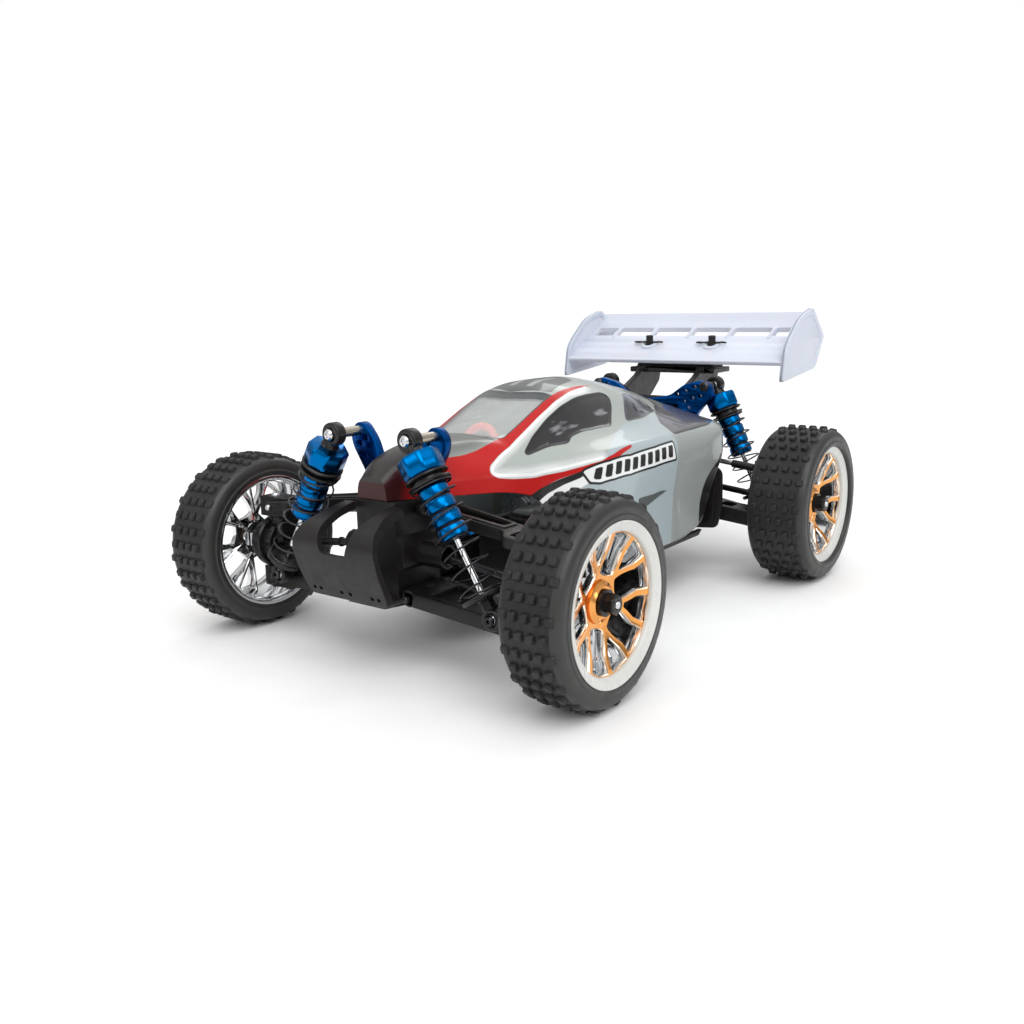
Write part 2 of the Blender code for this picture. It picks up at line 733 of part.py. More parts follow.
# Body shell ---------------------------------------------------------------------------------------------
# Each station: y, crest height, then (half width, height) of the roof edge, window sill, shoulder and skirt.
SHELL_STATIONS = [
    (-0.0990, 0.0663, (0.0040, 0.0658), (0.0056, 0.0643), (0.0064, 0.0622), (0.0068, 0.0584)),
    (-0.0920, 0.0716, (0.0050, 0.0709), (0.0080, 0.0680), (0.0094, 0.0634), (0.0100, 0.0583)),
    (-0.0840, 0.0742, (0.0062, 0.0732), (0.0102, 0.0692), (0.0130, 0.0638), (0.0140, 0.0582)),
    (-0.0740, 0.0752, (0.0082, 0.0742), (0.0128, 0.0698), (0.0172, 0.0642), (0.0188, 0.0576)),
    (-0.0620, 0.0752, (0.0106, 0.0742), (0.0156, 0.0698), (0.0224, 0.0646), (0.0244, 0.0570)),
    (-0.0500, 0.0749, (0.0156, 0.0738), (0.0240, 0.0688), (0.0294, 0.0648), (0.0310, 0.0544)),
    (-0.0440, 0.0772, (0.0163, 0.0762), (0.0270, 0.0693), (0.0334, 0.0650), (0.0350, 0.0460)),
    (-0.0380, 0.0800, (0.0168, 0.0789), (0.0294, 0.0700), (0.0370, 0.0652), (0.0386, 0.0350)),
    (-0.0260, 0.0862, (0.0174, 0.0844), (0.0322, 0.0709), (0.0422, 0.0654), (0.0436, 0.0245)),
    (-0.0160, 0.0902, (0.0182, 0.0877), (0.0330, 0.0714), (0.0448, 0.0655), (0.0456, 0.0240)),
    (-0.0060, 0.0923, (0.0186, 0.0887), (0.0330, 0.0718), (0.0458, 0.0656), (0.0462, 0.0240)),
    (0.0100, 0.0926, (0.0190, 0.0879), (0.0320, 0.0722), (0.0465, 0.0658), (0.0465, 0.0240)),
    (0.0300, 0.0900, (0.0180, 0.0850), (0.0290, 0.0726), (0.0468, 0.0662), (0.0468, 0.0240)),
    (0.0500, 0.0860, (0.0150, 0.0810), (0.0240, 0.0735), (0.0465, 0.0670), (0.0465, 0.0270)),
    (0.0620, 0.0830, (0.0130, 0.0785), (0.0210, 0.0735), (0.0460, 0.0678), (0.0462, 0.0420)),
    (0.0720, 0.0800, (0.0115, 0.0765), (0.0190, 0.0730), (0.0450, 0.0680), (0.0455, 0.0520)),
    (0.0820, 0.0765, (0.0110, 0.0745), (0.0180, 0.0722), (0.0405, 0.0670), (0.0415, 0.0600)),
    (0.0878, 0.0745, (0.0105, 0.0730), (0.0170, 0.0712), (0.0370, 0.0662), (0.0380, 0.0610)),
]


def make_body_shell():
    """Thin painted shell, lofted through the stations and open underneath, slotted round the front tower."""
    bm = bmesh.new()
    rows = []
    for y, crest, *points in SHELL_STATIONS:
        half = [(0.0, crest)] + points
        section = [(-x, z) for x, z in reversed(half[1:])] + half
        rows.append([bm.verts.new((x, y, z)) for x, z in section])
    for row, following in zip(rows, rows[1:]):
        for i in range(len(row) - 1):
            bm.faces.new((row[i], row[i + 1], following[i + 1], following[i]))
    bm.faces.new(rows[0][::-1])
    bmesh.ops.recalc_face_normals(bm, faces=bm.faces)
    if bm.faces[0].normal.dot(bm.faces[0].calc_center_median() - Vector((0.0, 0.0, 0.05))) < 0:
        bmesh.ops.reverse_faces(bm, faces=bm.faces)
    mesh = bpy.data.meshes.new("body_shell")
    bm.to_mesh(mesh)
    bm.free()
    obj = add_object("body_shell", mesh, SHELL_PAINT)
    solid = obj.modifiers.new("thickness", "SOLIDIFY")
    solid.thickness = SHELL_THICKNESS
    solid.offset = -1.0
    for label, side in SIDES.items():
        xs = sorted((side * 0.0042, side * 0.0300))
        slot = block("shell_slot_" + label, (xs[0], -0.0868, 0.0550), (xs[1], -0.0817, 0.0900))
        cut(obj, slot)
    return obj


# Drive train, electrics and steering --------------------------------------------------------------------
def gear_outline(teeth):
    """Trapezoid teeth between the root and tip circles, thin enough to run with side play."""
    pitch = GEAR_MODULE * teeth / 2
    root, tip = pitch - 1.15 * GEAR_MODULE, pitch + 0.8 * GEAR_MODULE
    outline = []
    for i in range(teeth):
        for radius, share in ((root, -0.32), (tip, -0.11), (tip, 0.11), (root, 0.32)):
            angle = 2 * math.pi * (i + share) / teeth
            outline.append((radius * math.cos(angle), radius * math.sin(angle)))
    return outline


PINION_X = -0.0184
GEAR_DISTANCE = GEAR_MODULE * (SPUR_TEETH + PINION_TEETH) / 2 + 0.0001
PINION_Z = SHAFT_Z - math.sqrt(GEAR_DISTANCE ** 2 - PINION_X ** 2)


def make_spur_gear():
    """Spur gear fixed on the long centre shaft that drives both gearboxes."""
    obj = plate("spur_gear", [gear_outline(SPUR_TEETH)], GEAR_WIDTH, GEAR_PLASTIC)
    obj.matrix_world = Matrix.Translation((0.0, GEAR_Y, SHAFT_Z)) @ Matrix.Rotation(math.pi / 2, 4, "X")
    stop = WHEELBASE / 2 - 0.0112
    shaft = rod("centre_shaft", (0.0, -stop, SHAFT_Z), (0.0, stop, SHAFT_Z), 0.0016, segments=12)
    return join(obj, shaft)


def make_pinion():
    """Pinion turned so that one of its tooth gaps faces a tooth of the spur gear."""
    bore = arc((0, 0), 0.0013, 0, 315, 8)
    obj = plate("motor_pinion", [gear_outline(PINION_TEETH), bore], GEAR_WIDTH, STEEL)
    toward_spur = math.atan2(SHAFT_Z - PINION_Z, -PINION_X)
    spur_phase = (toward_spur + math.pi) * SPUR_TEETH / (2 * math.pi)
    offset = (spur_phase - round(spur_phase) - 0.5) * 2 * math.pi / PINION_TEETH
    turn = Matrix.Rotation(math.pi / 2, 4, "X") @ Matrix.Rotation(toward_spur + offset, 4, "Z")
    obj.matrix_world = Matrix.Translation((PINION_X, GEAR_Y, PINION_Z)) @ turn
    return obj


def make_motor():
    """Can motor with a stub shaft that enters the pinion."""
    profile = [
        (0.0, 0.0090),
        (0.0010, 0.0090),
        (0.0010, 0.0012),
        (0.0035, 0.0012),
        (0.0035, 0.0),
        (0.0118, 0.0),
        (0.0125, -0.0008),
        (0.0125, -0.0320),
        (0.0045, -0.0320),
        (0.0045, -0.0345),
        (0.0, -0.0345),
    ]
    obj = turned("motor", profile, STEEL, steps=16)
    point_along(obj, (PINION_X, GEAR_Y - 0.0040, PINION_Z), (0.0, 1.0, 0.0))
    return obj


def make_battery():
    obj = block("battery_pack", (0.0050, -0.0340, 0.0220), (0.0310, 0.0400, 0.0440), BATTERY_WRAP)
    return bevelled(obj, 0.0040, 3)


HORN_PIVOT = (-0.0140, AXLE_Y["front"] + STEER_ARM + 0.0140)


def make_servo():
    low, high = (-0.0240, -0.0660, 0.0220), (-0.0040, -0.0370, 0.0398)
    return bevelled(block("steering_servo", low, high, BLACK_PLASTIC), 0.0010)


def make_servo_horn():
    """Servo horn: a round hub with an arm that points forward to the steering link."""
    hub = arc((0.0, 0.0), 0.0040, -45, 225, 9)
    tip = arc((0.0, -0.0140), 0.0027, 180, 360, 5)
    obj = plate("servo_horn", [hub + tip], 0.0026, BLACK_PLASTIC)
    obj.location = (*HORN_PIVOT, 0.0416)
    return obj


def make_steering_link():
    y = AXLE_Y["front"] + STEER_ARM
    reach = CUP_X["front"] - ARM_REACH["front"] + 0.0035
    low, high = (-reach, y - 0.0024, LINK_Z[0]), (reach, y + 0.0024, LINK_Z[1])
    return bevelled(block("steering_link", low, high, BLUE_ALUMINIUM), 0.0005)


def make_tie_rod(name, side):
    """Tie rod between the steering link and the knuckle's arm, with a round end over each pivot."""
    outer = Vector((side * CUP_X["front"], AXLE_Y["front"] + STEER_ARM, TIE_ROD_Z))
    inner = outer - Vector((side * ARM_REACH["front"], 0.0, -ARM_DROOP))
    half = Vector((0.0, 0.0, 0.0017))
    obj = rod(name, inner, outer, 0.0013, STEEL, segments=10)
    inner_end = rod(name + "_inner_end", inner - half, inner + half, 0.0030, segments=12)
    outer_end = rod(name + "_outer_end", outer - half, outer + half, 0.0030, segments=12)
    return join(obj, inner_end, outer_end)


# Assembly -----------------------------------------------------------------------------------------------
def make_wheel_set(corner, end, side):
    make_tyre(corner + "_tyre", end, side)
    make_rim(corner + "_rim", end, side)
    make_axle(corner + "_axle", end, side)
    make_drive_shaft(corner + "_drive_shaft", end, side)


def make_shock(corner, end, side):
    make_shock_body(corner + "_shock_body", end, side)
    make_shock_rod(corner + "_shock_rod", end, side)
    make_spring(corner + "_spring", end, side)


def make_corner(end, label, side):
    corner = f"{end}_{label}"
    make_wheel_set(corner, end, side)
    make_shock(corner, end, side)
    make_lower_arm(corner + "_lower_arm", end, side)
    if end == "front":
        make_front_upper_arm(corner + "_upper_arm", side)
        make_steering_hub(corner + "_steering_hub", side)
        make_knuckle(corner + "_knuckle", side)
        make_tie_rod("tie_rod_" + label, side)
    else:
        make_rear_upper_link(corner + "_upper_link", side)
        make_hub_carrier(corner + "_hub_carrier", side)


def hang_from_pivots():
    """Parents each moving part that is built away from its joint to an empty on the joint's axis."""
    pivots = {}
    for end in AXLE_Y:
        for label, side in SIDES.items():
            reach = Vector((side * ARM_REACH[end], 0.0, -ARM_DROOP))
            pin = Vector((side * INNER_PIN_X, AXLE_Y[end], LOWER_PIN_Z[end]))
            hub = {"front": "steering_hub", "rear": "hub_carrier"}[end]
            pivots[f"{end}_{label}_{hub}"] = pin + reach
    for label, side in SIDES.items():
        pivots[f"front_{label}_knuckle"] = Vector((side * CUP_X["front"], AXLE_Y["front"], AXLE_Z))
        outer = Vector((side * CUP_X["front"], AXLE_Y["front"] + STEER_ARM, TIE_ROD_Z))
        pivots["tie_rod_" + label] = outer - Vector((side * ARM_REACH["front"], 0.0, -ARM_DROOP))
        inner = Vector((side * INNER_PIN_X, AXLE_Y["rear"] - 0.0066, UPPER_PIN_Z["rear"]))
        pivots[f"rear_{label}_upper_link"] = inner
    for name, pivot in pivots.items():
        empty = bpy.data.objects.new(name + "_pivot", None)
        empty.empty_display_size = 0.005
        empty.location = pivot
        PARTS.objects.link(empty)
        obj = bpy.data.objects[name]
        obj.parent = empty
        obj.matrix_parent_inverse = Matrix.Translation(-pivot)


def centre_car():
    """Parents everything to one empty that moves the car from axle coordinates to its overall centre."""
    loose = [obj for obj in bpy.data.objects if obj.parent is None]
    car = bpy.data.objects.new("car", None)
    car.empty_display_size = 0.02
    car.location = (0.0, CAR_SHIFT_Y, 0.0)
    PARTS.objects.link(car)
    for obj in loose:
        obj.parent = car


def main():
    for end in AXLE_Y:
        for label, side in SIDES.items():
            make_corner(end, label, side)
    make_chassis()
    make_bumper()
    make_gearbox("front", 0.0252)
    make_gearbox("rear", CHASSIS_TOP + CLEAR)
    make_front_tower()
    make_rear_tower()
    make_wing_mount()
    make_wing()
    make_body_shell()
    make_spur_gear()
    make_pinion()
    make_motor()
    make_battery()
    make_servo()
    make_servo_horn()
    make_steering_link()
    hang_from_pivots()
    centre_car()
    bpy.context.view_layer.update()


main()
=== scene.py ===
"""Looks of the radio-control buggy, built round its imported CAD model.

Lengths are in millimetres, and positions are measured from the ground under the middle of the wheelbase,
until they are turned into metres in the CAD model's frame. +Z is up, -Y the front and +X the car's left.
"""

import math

import bmesh
import bpy
import numpy as np
from mathutils import Matrix, Vector


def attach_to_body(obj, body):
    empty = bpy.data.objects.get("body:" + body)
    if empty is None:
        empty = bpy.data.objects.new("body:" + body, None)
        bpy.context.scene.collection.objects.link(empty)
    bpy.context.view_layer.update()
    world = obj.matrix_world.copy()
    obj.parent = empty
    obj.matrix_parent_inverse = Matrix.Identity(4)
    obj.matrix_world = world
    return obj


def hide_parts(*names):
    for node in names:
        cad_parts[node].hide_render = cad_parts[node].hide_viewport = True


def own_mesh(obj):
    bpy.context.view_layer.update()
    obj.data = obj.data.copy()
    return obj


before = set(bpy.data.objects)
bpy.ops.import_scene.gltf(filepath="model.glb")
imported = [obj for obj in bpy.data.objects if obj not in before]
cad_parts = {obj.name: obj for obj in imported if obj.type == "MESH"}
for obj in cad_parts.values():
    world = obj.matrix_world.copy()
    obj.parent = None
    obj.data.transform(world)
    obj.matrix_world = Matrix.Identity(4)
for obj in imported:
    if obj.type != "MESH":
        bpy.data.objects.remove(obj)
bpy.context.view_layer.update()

MM = 0.001
SHIFT = Vector((0, -17.05, 0))          # from the middle of the wheelbase to the CAD model's origin
AXLE = {"front": -87, "rear": 87}
OUT = {"front": -1, "rear": 1}          # direction along Y that leads away from the car's middle
SIDES = {"left": 1, "right": -1}
CORNERS = [(f"{end}_{label}", end, side) for end in AXLE for label, side in SIDES.items()]
WHEEL_X = 77.5
WHEEL_Z = 33.5
HALF_WIDTH = {"front": 11.2, "rear": 13}
CUP_X = {"front": 64, "rear": 65}         # outer joint of a drive shaft
HERE = Matrix.Identity(4)


# Materials ----------------------------------------------------------------------------------------------
def new_material(name):
    material = bpy.data.materials.new(name)
    material.use_nodes = True
    return material, material.node_tree, material.node_tree.nodes["Principled BSDF"]


def feed(tree, node, inputs):
    """Sets a shader node's inputs; a value that is another node's output is linked to its input."""
    for key, value in inputs.items():
        if isinstance(value, bpy.types.NodeSocket):
            tree.links.new(value, node.inputs[key])
        elif node.inputs[key].type == "RGBA":
            node.inputs[key].default_value = (*value, 1)
        else:
            node.inputs[key].default_value = value


def add_node(tree, kind, inputs, **settings):
    node = tree.nodes.new("ShaderNode" + kind)
    for name, value in settings.items():
        setattr(node, name, value)
    feed(tree, node, inputs)
    return node


def noise(tree, scale, detail):
    coords = add_node(tree, "TexCoord", {})
    inputs = {"Scale": scale, "Detail": detail, "Vector": coords.outputs["Object"]}
    return add_node(tree, "TexNoise", inputs).outputs["Fac"]


def ramp(tree, value, *stops):
    """Maps a value through stops of a position and a colour or grey."""
    node = add_node(tree, "ValToRGB", {"Fac": value})
    elements = node.color_ramp.elements
    while len(elements) < len(stops):
        elements.new(0.5)
    for element, (position, colour) in zip(elements, stops):
        element.position = position
        element.color = (*colour, 1) if isinstance(colour, tuple) else (colour, colour, colour, 1)
    return node.outputs["Color"]


def bump(tree, height, strength, distance):
    node = add_node(tree, "Bump", {"Strength": strength, "Distance": distance, "Height": height})
    return node.outputs["Normal"]


def surface(name, colour, rough, metal=0, vary=0.12, grain=900, grain_depth=0.05, mottle=60, coat=0, ior=1.5,
            subsurface=0, glow=0):
    """Material with mottled colour and roughness and a fine surface grain."""
    material, tree, bsdf = new_material(name)
    dark, light = [tuple(min(1, c * share) for c in colour) for share in (1 - vary, 1 + vary)]
    feed(tree, bsdf, {
        "Base Color": ramp(tree, noise(tree, mottle, 4), (0.35, dark), (0.65, light)),
        "Roughness": ramp(tree, noise(tree, mottle * 5, 5), (0.3, rough - 0.08), (0.7, rough + 0.08)),
        "Normal": bump(tree, noise(tree, grain, 2), grain_depth, 0.0002),
        "Metallic": metal, "IOR": ior, "Coat Weight": coat, "Coat Roughness": 0.06,
        # glow makes a surface shine with its own colour, which is painted light.
        "Emission Color": colour, "Emission Strength": glow,
        "Subsurface Weight": subsurface, "Subsurface Scale": 0.002})
    return material


RUBBER = surface("rubber", (0.013, 0.0115, 0.012), 0.55, vary=0.3, grain=1400, grain_depth=0.25, mottle=90,
                 ior=1.45)
SIDEWALL = surface("rubber_sidewall", (0.022, 0.022, 0.021), 0.42, vary=0.15, grain=1800, grain_depth=0.12)
PLASTIC = surface("black_nylon", (0.011, 0.0095, 0.009), 0.42, vary=0.2, grain=2200, grain_depth=0.18,
                  ior=1.38)
PLASTIC_SATIN = surface("black_satin", (0.01, 0.009, 0.009), 0.28, vary=0.15, grain=1500, grain_depth=0.08,
                        ior=1.42)
BLUE = surface("blue_anodised", (0, 0.135, 0.4), 0.24, metal=1, vary=0.1, grain=3000)
BLUE_DEEP = surface("blue_anodised_plate", (0, 0.06, 0.25), 0.3, metal=1, vary=0.15, grain=2500)
# Near-black blue for the grooves between a shock body's bands: painted shade in the recesses.
GROOVE_SHADE = surface("groove_painted_shade", (0.004, 0.01, 0.03), 0.35, metal=0.6)
CHROME = surface("chrome", (0.74, 0.75, 0.76), 0.1, metal=1, vary=0.05, grain=700, grain_depth=0.02)
COPPER = surface("copper_plate", (0.82, 0.36, 0.1), 0.2, metal=1, vary=0.1, grain_depth=0.03)
EDGE = surface("bright_edge", (0.95, 0.8, 0.66), 0.12, metal=1, vary=0.05)
WHITE = surface("white_ring", (0.62, 0.63, 0.6), 0.3, vary=0.04, grain_depth=0.02, coat=0.3)
STEEL = surface("steel", (0.62, 0.62, 0.64), 0.22, metal=1, vary=0.1, grain=2500, grain_depth=0.06)
BRASS = surface("brass", (0.42, 0.38, 0.31), 0.28, metal=1)
DARK_STEEL = surface("dark_steel", (0.05, 0.05, 0.055), 0.3, metal=0.9, vary=0.2)
WING_NYLON = surface("wing_nylon", (0.6, 0.63, 0.72), 0.36, vary=0.02, grain=1200, subsurface=0.15, mottle=25)
MOTOR_CAN = surface("motor_can", (0.3, 0.31, 0.33), 0.3, metal=1, grain=2500)
WRAP = surface("battery_wrap", (0.012, 0.014, 0.016), 0.35, vary=0.15, coat=0.3)
# The red plastic and the grey liner glow with their own colour: painted light that keeps the cockpit bright
# behind the windows.
GLOWING_RED_PART = surface("red_plastic_glowing", (0.62, 0.05, 0.04), 0.4, vary=0.1, glow=0.6)
GLOWING_GREY_LINER = surface("grey_liner_glowing", (0.52, 0.55, 0.53), 0.6, vary=0.2, glow=1)


# Geometry helpers ---------------------------------------------------------------------------------------
def blend(a, b, share):
    return a * (1 - share) + b * share


def fillet(points, radius, count=4, closed=True):
    """Rounds the corners of a line of 2D points; radius is a number, or one number for each point."""
    total = len(points)
    result = []
    for i, point in enumerate(points):
        r = radius[i] if isinstance(radius, list) else radius
        if r <= 0 or (not closed and i in (0, total - 1)):
            result.append(tuple(point))
            continue
        here = Vector(point)
        before, after = Vector(points[i - 1]) - here, Vector(points[(i + 1) % total]) - here
        a = here + before * min(r / max(before.length, 1e-9), 0.48)
        b = here + after * min(r / max(after.length, 1e-9), 0.48)
        for k in range(count + 1):
            t = k / count
            result.append(tuple(a * (1 - t) ** 2 + here * (2 * t * (1 - t)) + b * t * t))
    return result


def turns(count):
    """Angles that share out a full turn."""
    return [2 * math.pi * i / count for i in range(count)]


def circle(cx, cy, radius, count):
    return [(cx + radius * math.cos(a), cy + radius * math.sin(a)) for a in turns(count)]


def mirrored(half):
    """A closed outline from its half at x >= 0, listed from one end of the centre line to the other."""
    return half + [(-x, y) for x, y in reversed(half) if x]


def towards(direction, origin):
    """Matrix that stands local Z along a direction at an origin."""
    return Matrix.Translation(Vector(origin)) @ Vector(direction).to_track_quat("Z", "Y").to_matrix().to_4x4()


def across(y):
    """Matrix that stands an (x, z) outline up across the car at a given y."""
    return Matrix.Translation((0, y, 0)) @ Matrix.Rotation(math.pi / 2, 4, "X")


def along(x):
    """Matrix that stands a (y, z) outline up along the car at a given x."""
    return Matrix.Translation((x, 0, 0)) @ Matrix(((0, 0, 1, 0), (1, 0, 0, 0), (0, 1, 0, 0), (0, 0, 0, 1)))


def ring_faces(count, rings):
    """Quads between neighbouring rings of count vertices each."""
    starts = [level * count for level in range(rings - 1)]
    corners = [(start + k, start + (k + 1) % count) for start in starts for k in range(count)]
    return [(a, b, b + count, a + count) for a, b in corners]


def add_object(mesh):
    obj = bpy.data.objects.new(mesh.name, mesh)
    bpy.context.scene.collection.objects.link(obj)
    return obj


def filled(loops, thickness, edge):
    """Vertices and faces of a flat plate with holes and rounded edges, centred on the XY plane."""
    curve = bpy.data.curves.new("outline", "CURVE")
    curve.dimensions = "2D"
    curve.fill_mode = "BOTH"
    curve.extrude = thickness / 2 - edge
    curve.bevel_depth = edge
    curve.bevel_resolution = 1
    curve.offset = -edge
    for loop in loops:
        spline = curve.splines.new("POLY")
        spline.points.add(len(loop) - 1)
        for point, (x, y) in zip(spline.points, loop):
            point.co = (x, y, 0, 1)
        spline.use_cyclic_u = True
    holder = add_object(curve)
    mesh = bpy.data.meshes.new_from_object(holder.evaluated_get(bpy.context.evaluated_depsgraph_get()))
    verts = [v.co.copy() for v in mesh.vertices]
    faces = [tuple(p.vertices) for p in mesh.polygons]
    bpy.data.objects.remove(holder)
    bpy.data.curves.remove(curve)
    bpy.data.meshes.remove(mesh)
    return verts, faces


def shade(mesh, sharp):
    """Shades a mesh smooth, but for its edges that turn by more than sharp degrees."""
    mesh.shade_smooth()
    mesh.set_sharp_from_angle(angle=math.radians(sharp))


def clean(mesh, merge, simplify):
    """Merges vertices that lie closer than merge, in metres, simplifies the faces and turns them outward."""
    bm = bmesh.new()
    bm.from_mesh(mesh)
    bmesh.ops.remove_doubles(bm, verts=bm.verts, dist=merge)
    simplify(bm)
    bmesh.ops.recalc_face_normals(bm, faces=bm.faces)
    bm.to_mesh(mesh)
    bm.free()


def attach(mesh, body, replaces, sharp):
    """The object for a mesh, which rides on a CAD body and stands for the CAD nodes that it replaces."""
    shade(mesh, sharp)
    obj = add_object(mesh)
    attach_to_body(obj, body)
    if replaces:
        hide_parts(*replaces)
    return obj


def add_bevel(obj, width):
    modifier = obj.modifiers.new("edges", "BEVEL")
    modifier.width = width * MM
    modifier.segments = 2
    modifier.limit_method = "ANGLE"
    modifier.angle_limit = math.radians(32)


class Part:
    """Collects the vertices and faces of one piece, with a material number for each face."""

    def __init__(self, *materials):
        self.materials = materials
        self.verts, self.faces, self.slots = [], [], []

    def add(self, verts, faces, matrix, slot):
        base = len(self.verts)
        self.verts += [matrix @ Vector(v) for v in verts]
        self.faces += [tuple(base + i for i in face) for face in faces]
        self.slots += slot if isinstance(slot, list) else [slot] * len(faces)

    def lathe(self, profile, matrix, steps, slot=0, ring=False, sides=None):
        """Turns (radius, height) points round local Z; sides maps a point number to a polygon's sides."""
        count = len(profile)
        verts, faces, slots = [], [], []
        for angle in turns(steps):
            for i, (r, z) in enumerate(profile):
                if sides and i in sides:
                    side = 2 * math.pi / sides[i]
                    r = r * math.cos(side / 2) / math.cos(angle % side - side / 2)
                verts.append((r * math.cos(angle), r * math.sin(angle), z))
        for k in range(steps):
            after = (k + 1) % steps
            for i in range(count if ring else count - 1):
                j = (i + 1) % count
                faces.append((k * count + i, after * count + i, after * count + j, k * count + j))
                slots.append(slot[i] if isinstance(slot, list) else slot)
        self.add(verts, faces, matrix, slots)

    def rod(self, start, end, radius, slot, edge, steps=20, matrix=HERE):
        """Cylinder with chamfered ends between two points."""
        start, end = Vector(start), Vector(end)
        length = (end - start).length
        edge = min(edge, radius * 0.6, length * 0.4)
        half = [(0, 0), (radius - edge, 0), (radius, edge)]
        profile = half + [(r, length - z) for r, z in reversed(half)]
        self.lathe(profile, matrix @ towards(end - start, start), steps, slot)

    def ball(self, centre, radius, slot, matrix):
        profile = [(radius * math.sin(a), -radius * math.cos(a)) for a in turns(16)[:9]]
        self.lathe(profile, matrix @ Matrix.Translation(Vector(centre)), 16, slot)

    def tube(self, path, radius, slot=0, sides=8, matrix=HERE):
        """Round wire along a line of points, with closed ends."""
        points = [Vector(p) for p in path]
        last = len(points) - 1
        verts = []
        normal = (points[1] - points[0]).normalized().orthogonal().normalized()
        for i, point in enumerate(points):
            tangent = (points[min(i + 1, last)] - points[max(i - 1, 0)]).normalized()
            normal = (normal - tangent * normal.dot(tangent)).normalized()
            other = tangent.cross(normal)
            verts += [point + (normal * math.cos(a) + other * math.sin(a)) * radius for a in turns(sides)]
        faces = ring_faces(sides, len(points))
        faces += [tuple(range(sides))[::-1], tuple(range(last * sides, len(verts)))]
        self.add(verts, faces, matrix, slot)

    def plate(self, loops, thickness, matrix, slot=0, edge=0.3):
        self.add(*filled(loops, thickness, edge), matrix, slot)

    def block(self, low, high, slot, edge, matrix=HERE):
        """Box with rounded edges."""
        centre = (Vector(low) + Vector(high)) / 2
        size = Vector(high) - Vector(low)
        edge = min(edge, min(size) * 0.45)
        hx, hy = size.x / 2, size.y / 2
        outline = fillet([(-hx, -hy), (hx, -hy), (hx, hy), (-hx, hy)], edge, 2)
        self.plate([outline], size.z, matrix @ Matrix.Translation(centre), slot, edge)

    def screw(self, centre, direction, radius, slot=0, height=1.2):
        """Domed screw head with a hexagonal socket, standing on a surface."""
        profile = [(0, height * 0.35), (radius * 0.45, height * 0.35), (radius * 0.5, height),
                   (radius * 0.72, height * 0.97), (radius, height * 0.45), (radius, -0.3), (0, -0.3)]
        self.lathe(profile, towards(direction, centre), 24, slot, sides={1: 6, 2: 6})

    def finished(self, name, body, finish=None, replaces=(), sharp=38):
        """Makes the object, in metres in the CAD frame, riding on a CAD body."""
        mesh = bpy.data.meshes.new(name)
        mesh.from_pydata([(v + SHIFT) * MM for v in self.verts], [], self.faces)
        for material in self.materials:
            mesh.materials.append(material)
        mesh.polygons.foreach_set("material_index", self.slots)
        clean(mesh, 2e-6, lambda bm: bmesh.ops.dissolve_degenerate(bm, edges=bm.edges, dist=1e-7))
        return attach(mesh, body, replaces, sharp)

    def stand_in(self, node, body, finish, sharp=38):
        """Makes the object that stands for one CAD node."""
        return self.finished(node + "_looks", body, finish, [node], sharp)


def softened(node, body, material, bevel):
    """A CAD node's own shape with rounded edges, which stands for the node."""
    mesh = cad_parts[node].data.copy()
    mesh.name = node + "_looks"
    mesh.materials.clear()
    mesh.materials.append(material)
    flat = math.radians(2)
    clean(mesh, 5e-6,
          lambda bm: bmesh.ops.dissolve_limit(bm, angle_limit=flat, verts=bm.verts, edges=bm.edges))
    mesh.polygons.foreach_set("material_index", [0] * len(mesh.polygons))
    add_bevel(attach(mesh, body, [node], 38), bevel)


def wheel_place(end, side):
    """Wheel frame: local Z points outward along the axle from the wheel's centre."""
    centre = (side * WHEEL_X, AXLE[end], WHEEL_Z)
    return Matrix.Translation(centre) @ Matrix.Rotation(side * math.pi / 2, 4, "Y")


# Wheels -------------------------------------------------------------------------------------------------
TREAD_ROWS = 36
CARCASS_RADIUS = 32.15
CENTRE_PIN = (2.35, 2.6, 1.35, 0)                       # width, length, height and lean in degrees
EDGE_PIN = (2.6, 2.5, 0.75, 8)
PIN_OFFSETS = [(-8, -4.1, 0, 4.1, 8), (-6.1, -2.05, 2.05, 6.1)]     # across the tread, for every other row


def make_tyre(corner, end, side):
    half = HALF_WIDTH[end]
    part = Part(RUBBER, SIDEWALL)
    outer = [(24.95, half - 1.6), (25.1, half - 0.5), (26, half - 0.05), (27.2, half), (27.4, half - 0.25),
             (29.2, half - 0.3), (30.8, half - 0.8), (31.7, half - 1.8), (CARCASS_RADIUS, half - 3.6),
             (CARCASS_RADIUS + 0.05, 0)]
    outer = fillet(outer, 0.5, 3, closed=False)
    profile = outer + [(r, -u) for r, u in reversed(outer[:-1])]
    place = wheel_place(end, side)
    part.lathe(profile, place, 96, [int(abs(u) > half - 2.5) for _, u in profile], ring=True)
    for row in range(TREAD_ROWS):
        angle = 2 * math.pi * (row + 0.5) / TREAD_ROWS
        for u in PIN_OFFSETS[row % 2]:
            size = EDGE_PIN if abs(u) == PIN_OFFSETS[0][-1] else CENTRE_PIN
            add_pin(part, place, angle, u * half / HALF_WIDTH["front"], size)
    part.stand_in(corner + "_tyre", corner + "_wheel", "tyre_rubber")


